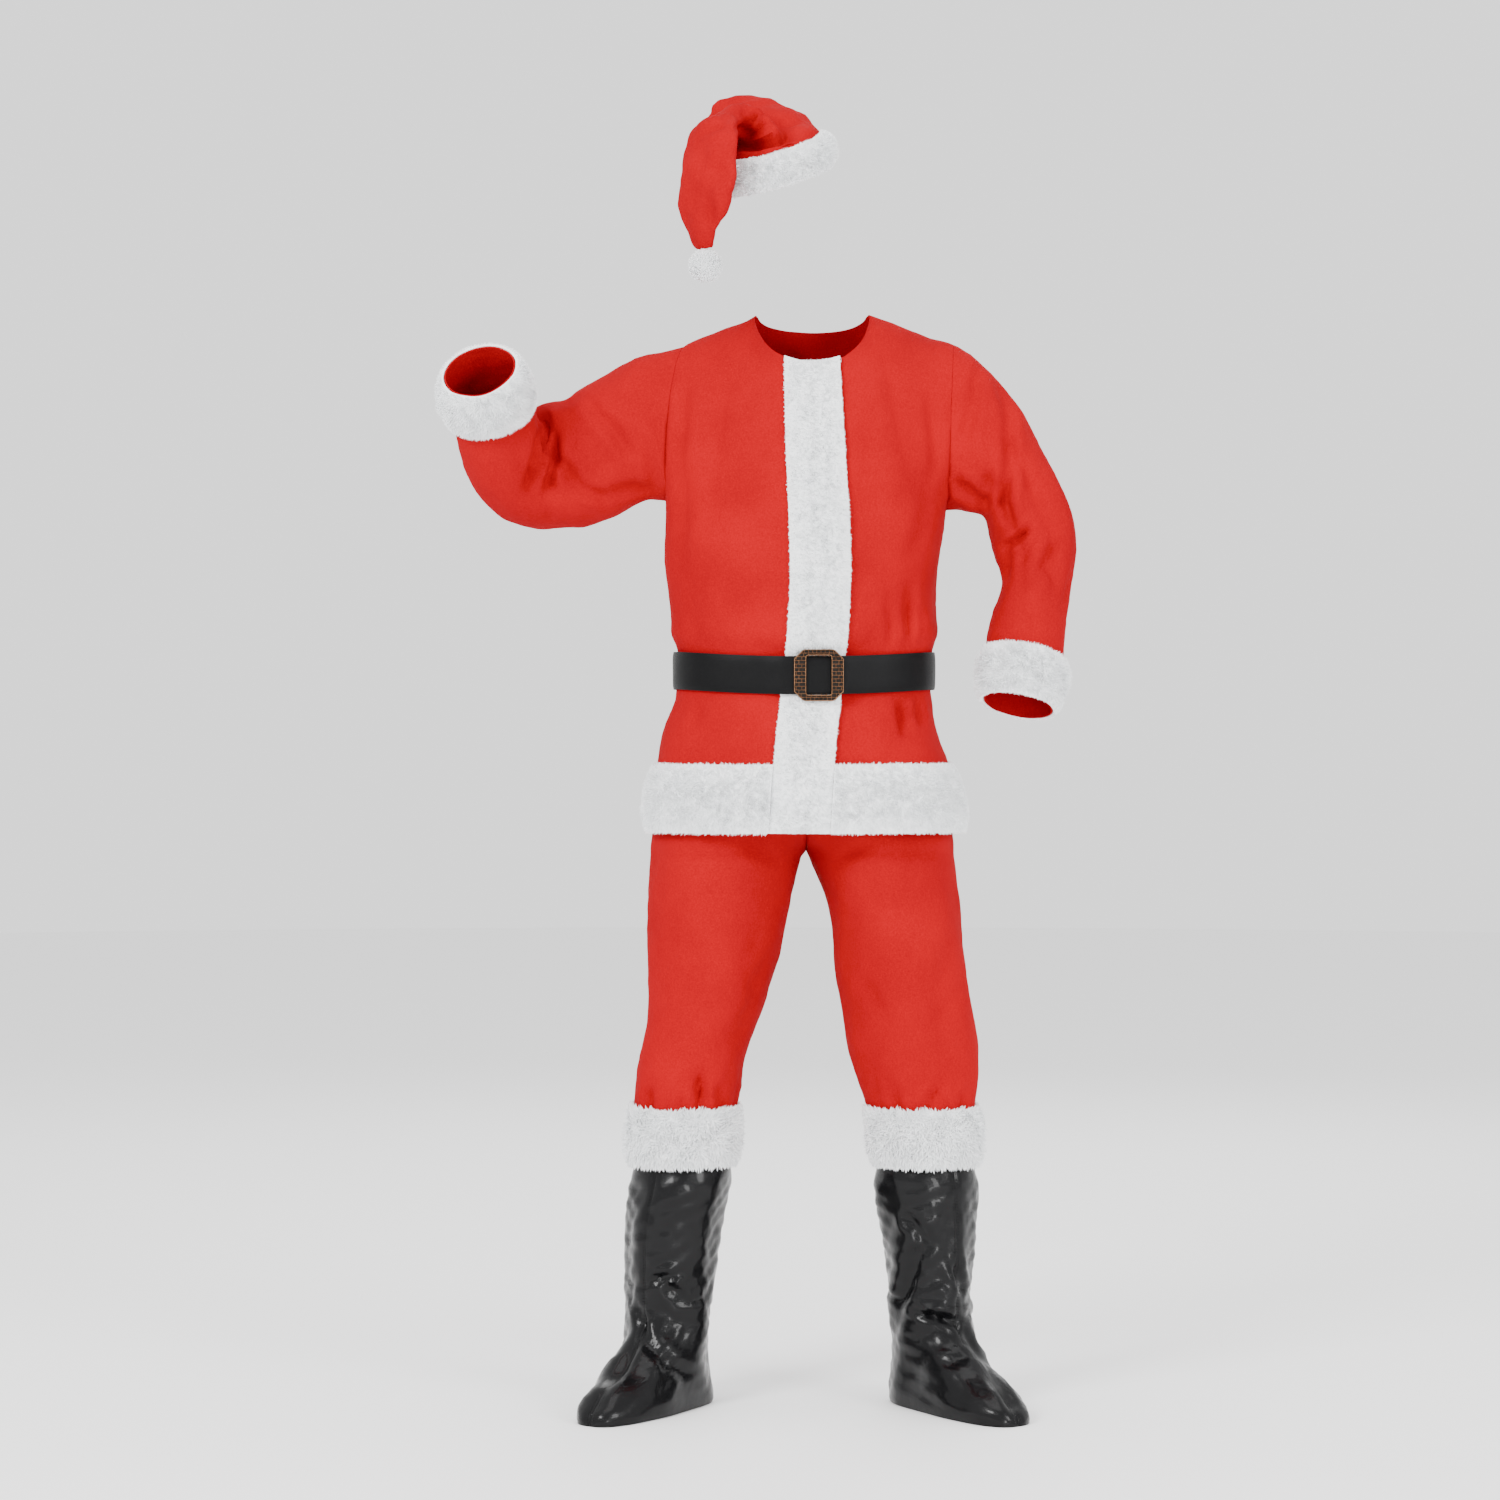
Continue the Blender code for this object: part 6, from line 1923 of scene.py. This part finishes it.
@dataclass
class Trousers:
    """The trousers: a front and a back for each leg, a waistband, and fur round each leg's end.

    Args:
        cloth: How thick the cloth is.
        wave: How deep its broad, soft waves are.
        crumple: How deep its small ones are.
        gather: How deep the pleats over the fur are.
    """

    cloth: float = CLOTH
    wave: float = 0.0030
    crumple: float = 0.0009
    gather: float = 0.0026
    ends: dict[str, Fur] = field(
        default_factory=lambda: {
            side: Fur(
                "leg_fur_" + side, LEG_FUR,
                Pile(11500, 0.0120, 0.0028, 0.7, 0.35, True, 7 + k, 2.0), 0.62, 0.4,
            )
            for k, side in enumerate(("right", "left"))
        }
    )

    def lift(self, points: Grid, normals: Grid) -> Grid:
        """Work out the trousers' creases.

        Args:
            points: Points of the cloth.
            normals: The outward directions there.

        Returns:
            How far out each point moves.
        """
        x, height = points[:, 0], points[:, 2]
        free = smoothstep((height - 0.415) / 0.040) * smoothstep((0.960 - height) / 0.080)
        rise = self.wave * ripple(points, 0.150, 13, (1, 1, 2.4))
        rise = rise + self.crumple * ripple(points, 0.055, 14, (1, 1, 2.0))
        rise = rise + 0.4 * self.crumple * ripple(points, 0.022, 15)
        low = np.exp(-(((height - 0.468) / 0.028) ** 2))
        rise = rise - self.gather * low * np.abs(ripple(points, 0.034, 16, (1, 1, 6.0)))
        facing = smoothstep((-normals[:, 1] - 0.05) / 0.4)
        rise = rise + creased(points, normals, LEG_CREASES) + creased(points, normals, LEG_BACK_CREASES, 1)
        return (rise - front_folds(FINE_LEG_FOLDS, x, height) * facing) * free

    def build(self, shop: Workshop) -> None:
        """Make the trousers.

        Args:
            shop: Where their pieces are made.
        """
        shape = Cloth()
        plain, numbers = {}, {}
        for side in ("right", "left"):
            for half, word in ((1, "front"), (-1, "back")):
                across = LEG_COLUMNS_ACROSS + 1
                rows = [resampled(leg_row(side, height, half), across) for height in LEG_HEIGHTS]
                name = f"leg_{word}_{side}"
                plain[name] = np.array(rows)
                numbers[name] = shape.grid(name, plain[name], half if side == "right" else -half)
        band = [np.concatenate([waist_row(h, 1), waist_row(h, -1)[-2::-1]]) for h in WAIST_HEIGHTS]
        plain["waistband"] = np.array(band)
        shape.grid("waistband", plain["waistband"])
        shape.relax(self.lift)
        for name, cut in plain.items():
            shop.cloth(name, shape.wall(name, self.cloth), cut)
        points, directions = np.array(shape.points), shape.normals()
        low = [k for k, height in enumerate(LEG_HEIGHTS) if height <= LEG_FUR_TOP + 1e-9]
        for side, fur in self.ends.items():
            front, back = numbers["leg_front_" + side], numbers["leg_back_" + side]
            found = np.concatenate([front, back[:, -2::-1]], axis=1)[low]
            if side == "left":
                found = found[:, ::-1]
            share = np.linspace(0, 1, len(low))[:, None]
            shop.fur(fur, points[found], directions[found], share)


@dataclass
class BootCovers:
    """The boot covers: an outer and an inner half each, sewn together down the back and the front.

    Args:
        vinyl: How thick the coated cloth is.
        welt: How far its edges sink at the seams.
        slack: How deep the shaft's soft dents are.
        wrinkle: How deep the wrinkles round the leg are.
    """

    vinyl: float = VINYL
    welt: float = 0.0020
    slack: float = 0.0027
    wrinkle: float = 0.0042

    def lift(self, points: Grid, normals: Grid) -> Grid:
        """Work out the covers' dents and wrinkles.

        Args:
            points: Points of the cover.
            normals: The outward directions there.

        Returns:
            How far out each point moves.
        """
        height = points[:, 2]
        free = smoothstep((0.360 - height) / 0.030)
        ankle = np.exp(-(((height - 0.165) / 0.062) ** 2))
        ridge = (1 - np.abs(ripple(points, 0.060, 23, (2.2, 2.2, 0.8)))) ** 3
        rise = self.slack * (ripple(points, 0.085, 21, (1, 1, 1.6)) - 0.3)
        rise = rise + 0.3 * self.slack * ripple(points, 0.026, 22)
        low = smoothstep((height - 0.016) / 0.030)
        rise = rise * (0.35 + 0.65 * low) - self.wrinkle * ankle * np.clip(ridge, 0, 1)
        return (rise + creased(points, normals, BOOT_CREASES) * low) * free

    def build(self, shop: Workshop) -> None:
        """Make the covers and the stitches beside their seams.

        Args:
            shop: Where they are made.
        """
        half = BOOT_RING // 2
        for side in ("right", "left"):
            outward = 1 if side == "right" else -1
            rings = np.array([boot_ring(side, height) for height in BOOT_HEIGHTS])
            shape = Cloth()
            cuts = {"boot_outer_" + side: rings[:, : half + 1], "boot_inner_" + side: rings[:, half:]}
            numbers = {name: shape.grid(name, cut, outward) for name, cut in cuts.items()}
            shape.relax(self.lift)
            for name, cut in cuts.items():
                wall = shape.wall(name, self.vinyl, dip=self.welt)
                shop.cloth(name, wall, cut, Finish.BLACK_VINYL, "stretched")
            points, directions = np.array(shape.points), shape.normals()
            rows = []
            for name, found in numbers.items():
                front = half if "outer" in name else 0
                beside = front - 1 if "outer" in name else front + 1
                line = 0.5 * (points[found[:, front]] + points[found[:, beside]])
                rows.append(stitches(line, directions[found[:, beside]]))
            shop.add("boot_stitches_" + side, *joined(rows), Finish.BLACK_VINYL)


@dataclass
class Hat:
    """The hat: a soft cone that falls over to one side, its fur band and its pompom.

    Args:
        cloth: How thick its cloth is.
        wave: How deep its soft waves are.
        fold: How deep the folds are where it bends over.
        pivot: The x and height that those folds run to.
        folds: Their directions, in radians above +X.
    """

    cloth: float = CLOTH
    wave: float = 0.0026
    fold: float = 0.0050
    pivot: tuple[float, float] = (-0.103, 1.823)
    folds: tuple[float, ...] = (0.10, 1.20)
    band: Fur = Fur("hat_fur", HAT_FUR, Pile(14500, 0.0080, 0.0023, seed=11), edge=0.15)
    pompom: Pile = Pile(3600, 0.0075, 0.0028, 0.5, 0.10, True, 12, 0.0)

    def lift(self, points: Grid, normals: Grid) -> Grid:
        """Work out the hat's creases.

        Args:
            points: Points of its cloth.
            normals: The outward directions there.

        Returns:
            How far out each point moves.
        """
        x, height = points[:, 0] - self.pivot[0], points[:, 2] - self.pivot[1]
        reach = np.hypot(x, height)
        angle = np.arctan2(height, x)
        rise = self.wave * ripple(points, 0.070, 31) + 0.35 * self.wave * ripple(points, 0.025, 32)
        for way in self.folds:
            off = reach * np.sin(angle - way) / 0.0075
            near = np.exp(-(off**2)) * (np.cos(angle - way) > 0)
            rise = rise - self.fold * near * smoothstep(reach / 0.03) * np.exp(-((reach / 0.085) ** 2))
        rise = rise + creased(points, normals, HAT_CREASES)
        return rise * smoothstep((runs_from_edge(points) - 0.004) / 0.020)

    def build(self, shop: Workshop) -> None:
        """Make the hat.

        Args:
            shop: Where its pieces are made.
        """
        rings = hat_rings()
        shape = Cloth()
        numbers = shape.grid("hat_crown", rings)
        shape.relax(self.lift)
        shop.cloth("hat_crown", shape.wall("hat_crown", self.cloth), rings)
        points, directions = np.array(shape.points), shape.normals()
        found = numbers[:HAT_BAND_RINGS]
        share = np.linspace(0, 1, len(found))[:, None]
        shop.fur(self.band, points[found], directions[found], share)
        self._ball(shop)

    def _ball(self, shop: Workshop) -> None:
        """Make the pompom: a ball of locks.

        Args:
            shop: Where it is made.
        """
        across = np.linspace(0, math.tau, POMPOM_COLUMNS)
        up = np.linspace(-math.pi / 2 + 0.02, math.pi / 2 - 0.02, POMPOM_ROWS)
        across[-1] = 0.0
        way = np.stack(
            [
                np.cos(up)[:, None] * np.cos(across)[None],
                np.cos(up)[:, None] * np.sin(across)[None],
                np.broadcast_to(np.sin(up)[:, None], (POMPOM_ROWS, POMPOM_COLUMNS)),
            ],
            axis=-1,
        )
        centre = np.array(POMPOM_CENTRE)
        core = POMPOM_CORE * POMPOM_RADIUS * (1 + 0.06 * ripple(way, 1.0, 40))[..., None]
        over = centre + way * core
        deep = np.linalg.norm(over - centre, axis=-1) * 0.75
        vertices, faces = fur_on(centre + way * core * 0.25, way, deep, 1, 0.0)
        backing = shop.add("pompom_core", vertices, faces, Finish.WHITE_FUR, ("pompom",))
        shop.add("pompom_pile", *self.pompom.grow(over, way, np.ones(over.shape[:2])), Finish.WHITE_FUR)


def runs_from_edge(points: Grid) -> Grid:
    """Measure how far points of the hat lie above its lower edge.

    Args:
        points: The points.

    Returns:
        Their height over the tilted edge, in metres.
    """
    edge = HAT[0][2] + (points[:, 0] - HAT[0][0]) * (HAT[0][2] - HAT[0][5]) / (HAT[0][0] - HAT[0][3])
    edge = edge + math.tan(HAT_TILT) * (points[:, 1] - HAT[0][1])
    hanging = (points[:, 0] < HAT[0][3] - 0.010) | (points[:, 1] < HAT[0][1] - HAT[0][6] - 0.012)
    return np.where(hanging, 1.0, points[:, 2] - edge)


@dataclass
class Belt:
    """The belt: a coated strap that rides over the front fur, and its pierced buckle.

    Args:
        strap: How thick the strap is.
        crown: How much thinner its edges are, as a share.
        bar: How wide a bar of the buckle's lattice is.
        course: How high a course of its openings is.
        relief: How far the lattice stands off the plate.
    """

    strap: float = STRAP
    crown: float = 0.45
    bar: float = 0.0010
    course: float = 0.0052
    relief: float = 0.0016

    def build(self, shop: Workshop) -> None:
        """Make the belt.

        Args:
            shop: Where it is made.
        """
        shares = np.linspace(-1, 1, 13)
        line = belt_line()
        rows = np.repeat(line[None], len(shares), axis=0)
        rows[:, :, 2] = BELT_HEIGHT + shares[:, None] * BELT_HALF_HEIGHT
        rows[:, :, 2] += BELT_RISE * (rows[:, :, 0] / BELT_HALF_WIDTH) ** 2
        normals = grid_normals(rows)
        thick = self.strap * (1 - self.crown * np.abs(shares) ** 6)[:, None] * np.ones(rows.shape[:2])
        thick = thick * (1 + 0.06 * ripple(rows, 0.05, 51))
        wall = fur_on(rows, normals, thick, 1, 0.0)
        strap = shop.add("belt_strap_band", *wall, Finish.BLACK_STRAP, ("belt_strap",))
        shop.declare(strap, rows, "stretched")
        self._buckle(shop)

    def _buckle(self, shop: Workshop) -> None:
        """Make the buckle: a dark plate with a lattice of brass in courses, as in a wall.

        Args:
            shop: Where it is made.
        """
        back = BELT_FRONT + FRONT_FUR_UNDER_BELT + BELT_CLEARANCE + STRAP + 2 * LAY_GAP
        width, height, corner = BUCKLE_WIDTH / 2, BUCKLE_HEIGHT / 2, BUCKLE_CORNER
        inner_width, inner_height = BUCKLE_WINDOW[0] / 2, BUCKLE_WINDOW[1] / 2
        turn = np.linspace(0, math.tau, 65)
        turn[-1] = 0.0

        def edge(w: float, h: float, c: float) -> Grid:
            """Draw a rectangle with its corners cut off, as points round it."""
            way = np.stack([np.cos(turn), np.sin(turn)], axis=1)
            reach = np.maximum(np.abs(way), 1e-9)
            scale = np.minimum(w / reach[:, 0], h / reach[:, 1])
            scale = np.minimum(scale, (w + h - c) / np.abs(way).sum(axis=1))
            return way * scale[:, None]

        def place(flat: Grid, depth: float) -> Grid:
            """Stand flat points up at a depth in front of the strap."""
            return np.stack(
                [
                    flat[..., 0] + BUCKLE_CENTRE_X,
                    np.full(flat.shape[:-1], -depth),
                    flat[..., 1] + BELT_HEIGHT,
                ],
                axis=-1,
            )

        outer, inner = edge(width, height, corner), edge(inner_width, inner_height, BUCKLE_WINDOW[2])
        share = np.linspace(0, 1, 6)[:, None, None]
        face = outer[None] * (1 - share) + inner[None] * share
        plate_rows = place(face, back)
        normals = np.broadcast_to(np.array([0.0, -1.0, 0.0]), plate_rows.shape)
        plate = np.full(plate_rows.shape[:2], BUCKLE_THICKNESS - self.relief)
        vertices, faces = fur_on(plate_rows, normals, plate, 1, 0.0)
        shop.add("belt_buckle_plate", vertices, faces, Finish.BLACKENED, ("belt_buckle",))
        bars = [self._rail(edge(width - 0.0006, height - 0.0006, corner), back, place)]
        window = edge(inner_width + 0.0006, inner_height + 0.0006, BUCKLE_WINDOW[2])
        bars.append(self._rail(window, back, place))
        bars.extend(self._courses(back, place))
        shop.add("belt_buckle_lattice", *joined(bars), Finish.BRASS)

    def _rail(self, loop: Grid, back: float, place: Callable[[Grid, float], Grid]) -> tuple[Grid, Faces]:
        """Make a raised rail that follows a closed loop.

        Args:
            loop: The loop, as flat points.
            back: The depth of the plate's back.
            place: Stands flat points up at a depth.

        Returns:
            Its vertices and faces.
        """
        half = self.bar / 2
        ahead = unit(np.roll(loop[:-1], -1, axis=0) - np.roll(loop[:-1], 1, axis=0))
        side = np.stack([ahead[:, 1], -ahead[:, 0]], axis=1)
        low, high = back + BUCKLE_THICKNESS - self.relief - 0.0004, back + BUCKLE_THICKNESS
        corners = [(1.0, low), (0.75, high - 0.0002), (0.0, high), (-0.75, high - 0.0002), (-1.0, low)]
        rings = np.array([place(loop[:-1] + side * half * s, depth) for s, depth in corners])
        count = rings.shape[1]
        faces = []
        for a in range(len(corners)):
            b = (a + 1) % len(corners)
            for k in range(count):
                n = (k + 1) % count
                faces.append([a * count + k, a * count + n, b * count + n, b * count + k])
        return rings.reshape(-1, 3), faces

    def _courses(self, back: float, place: Callable[[Grid, float], Grid]) -> list[tuple[Grid, Faces]]:
        """Make the lattice's courses: level bars, and short upright ones set half a brick apart.

        Args:
            back: The depth of the plate's back.
            place: Stands flat points up at a depth.

        Returns:
            The bars' vertices and faces.
        """
        outer_w, outer_h = BUCKLE_WIDTH / 2, BUCKLE_HEIGHT / 2
        inner_w, inner_h = BUCKLE_WINDOW[0] / 2, BUCKLE_WINDOW[1] / 2
        bars = []
        count = int(2 * outer_h / self.course)
        for k in range(1, count):
            level = -outer_h + 2 * outer_h * k / count
            reach = min(outer_w, outer_w + outer_h - BUCKLE_CORNER - abs(level)) - self.bar * 0.6
            inside = inner_w + self.bar * 0.4 if abs(level) < inner_h + self.bar else 0.0
            for sign in (-1, 1):
                bars.append(self._bar((sign * inside, level), (sign * reach, level), back, place))
        for k in range(count):
            low, high = (-outer_h + 2 * outer_h * j / count for j in (k, k + 1))
            middle = (low + high) / 2
            reach = min(outer_w, outer_w + outer_h - BUCKLE_CORNER - abs(middle))
            if abs(middle) < inner_h:
                shares = (0.36, 0.82) if k % 2 else (0.60,)
                places = [inner_w + share * (reach - inner_w) for share in shares]
            else:
                places = [reach * share for share in CROSS_BAR_SHARES[k % 2]]
            for sign in (-1, 1):
                for x in places:
                    bars.append(self._bar((sign * x, low), (sign * x, high), back, place))
        return bars

    def _bar(
        self, start: tuple[float, float], end: tuple[float, float], back: float,
        place: Callable[[Grid, float], Grid],
    ) -> tuple[Grid, Faces]:
        """Make one short bar with a rounded top.

        Args:
            start: Where it starts, as a flat point.
            end: Where it ends.
            back: The depth of the plate's back.
            place: Stands flat points up at a depth.

        Returns:
            Its vertices and faces.
        """
        a, b = np.array(start), np.array(end)
        ahead = unit(b - a)
        side = np.array([ahead[1], -ahead[0]]) * self.bar * 0.42
        low, high = back + BUCKLE_THICKNESS - self.relief - 0.0004, back + BUCKLE_THICKNESS - 0.0003
        section = [(1.0, low), (0.7, high - 0.0002), (0.0, high), (-0.7, high - 0.0002), (-1.0, low)]
        rings = np.array([[place((p + side * s)[None], d)[0] for s, d in section] for p in (a, b)])
        count = len(section)
        faces = [[k, (k + 1) % count, count + (k + 1) % count, count + k] for k in range(count)]
        faces += [list(range(count))[::-1], [count + k for k in range(count)]]
        return rings.reshape(-1, 3), faces


@dataclass(frozen=True)
class Lamp:
    """One soft studio light.

    Args:
        name: Its name.
        place: Where it hangs, in the row frame.
        aim: Where it points.
        side: The side of its square, in metres.
        watts: How strong it is.
    """

    name: str
    place: tuple[float, float, float]
    aim: tuple[float, float, float]
    side: float
    watts: float

    def hang(self) -> None:
        """Make the light."""
        data = bpy.data.lights.new(self.name, "AREA")
        data.shape = "SQUARE"
        data.size = self.side
        data.energy = self.watts
        made = bpy.data.objects.new(self.name, data)
        made.location = self.place
        way = Vector(self.aim) - Vector(self.place)
        made.rotation_euler = way.to_track_quat("-Z", "Y").to_euler()
        bpy.context.scene.collection.objects.link(made)


@dataclass
class Studio:
    """The floor, the light and the camera.

    Args:
        floor_height: The floor's height in the row frame.
        reach: How far the floor reaches.
        distance: How far off the camera stands.
        centre: The x and height at the middle of the picture.
        scale: Metres across one pixel of the photograph.
        frame: The photograph's width in pixels.
        sensor: The camera's sensor width, in millimetres.
        sky: How bright the room is.
    """

    floor_height: float = -1.5508
    reach: float = 14.0
    distance: float = 5.2
    centre: tuple[float, float] = (-0.0812, -0.602)
    scale: float = 0.00145
    frame: int = 1500
    sensor: float = 36.0
    sky: float = 1.55
    lamps: tuple[Lamp, ...] = (
        Lamp("key", (-2.6, -3.4, 1.6), (0.0, 0.0, -0.5), 1.5, 230.0),
        Lamp("fill", (3.0, -3.0, 0.6), (0.0, 0.0, -0.6), 1.5, 110.0),
        Lamp("low", (1.2, -4.2, -1.15), (0.1, 0.0, -1.25), 0.8, 42.0),
        Lamp("back", (0.5, 3.6, 1.8), (0.0, 0.0, -0.4), 2.6, 90.0),
        Lamp("top", (0.0, -0.6, 3.2), (0.0, 0.0, -0.5), 2.6, 60.0),
    )

    def build(self) -> None:
        """Make the floor, the room's light, the lamps and the camera."""
        self._floor()
        world = bpy.data.worlds.new("room")
        world.use_nodes = True
        background = world.node_tree.nodes["Background"]
        background.inputs["Color"].default_value = (1.0, 1.0, 1.0, 1.0)
        background.inputs["Strength"].default_value = self.sky
        bpy.context.scene.world = world
        for lamp in self.lamps:
            lamp.hang()
        data = bpy.data.cameras.new("camera")
        data.sensor_width = self.sensor
        data.lens = self.sensor * self.distance / (self.frame * self.scale)
        camera = bpy.data.objects.new("camera", data)
        camera.location = (self.centre[0], -self.distance, self.centre[1])
        camera.rotation_euler = (math.pi / 2, 0.0, 0.0)
        bpy.context.scene.collection.objects.link(camera)
        bpy.context.scene.camera = camera

    def _floor(self) -> None:
        """Make the plain pale floor, a wide flat disc."""
        turn = np.linspace(0, math.tau, 97)[:-1]
        rim = np.stack([np.cos(turn), np.sin(turn), np.zeros(96)], axis=1) * self.reach
        rim[:, 2] = self.floor_height
        mesh = bpy.data.meshes.new("floor")
        mesh.from_pydata(rim.tolist(), [], [list(range(96))])
        paint = bpy.data.materials.new("floor")
        paint.use_nodes = True
        shader = paint.node_tree.nodes["Principled BSDF"]
        shader.inputs["Base Color"].default_value = (0.93, 0.93, 0.93, 1.0)
        shader.inputs["Roughness"].default_value = 0.8
        mesh.materials.append(paint)
        floor = bpy.data.objects.new("floor", mesh)
        bpy.context.scene.collection.objects.link(floor)
        floor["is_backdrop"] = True


def corners(box: tuple[Vector, Vector]) -> list[list[float]]:
    """Write a box as plain lists."""
    return [[float(value) for value in corner] for corner in box]


def main() -> None:
    """Build the suit on its frame, in order, and report each piece."""
    logging.basicConfig(level=logging.INFO, format="%(message)s")
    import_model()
    solid_box = corners(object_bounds())
    shop = Workshop()
    for part in (Jacket(), Trousers(), BootCovers(), Hat(), Belt()):
        before = len(shop.pieces)
        part.build(shop)
        for piece in shop.pieces[before:]:
            LOG.info("%s: %s", type(part).__name__, piece)
    Studio().build()
    {"solids": solid_box, "scene": corners(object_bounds())}


if __name__ == "__main__":
    main()
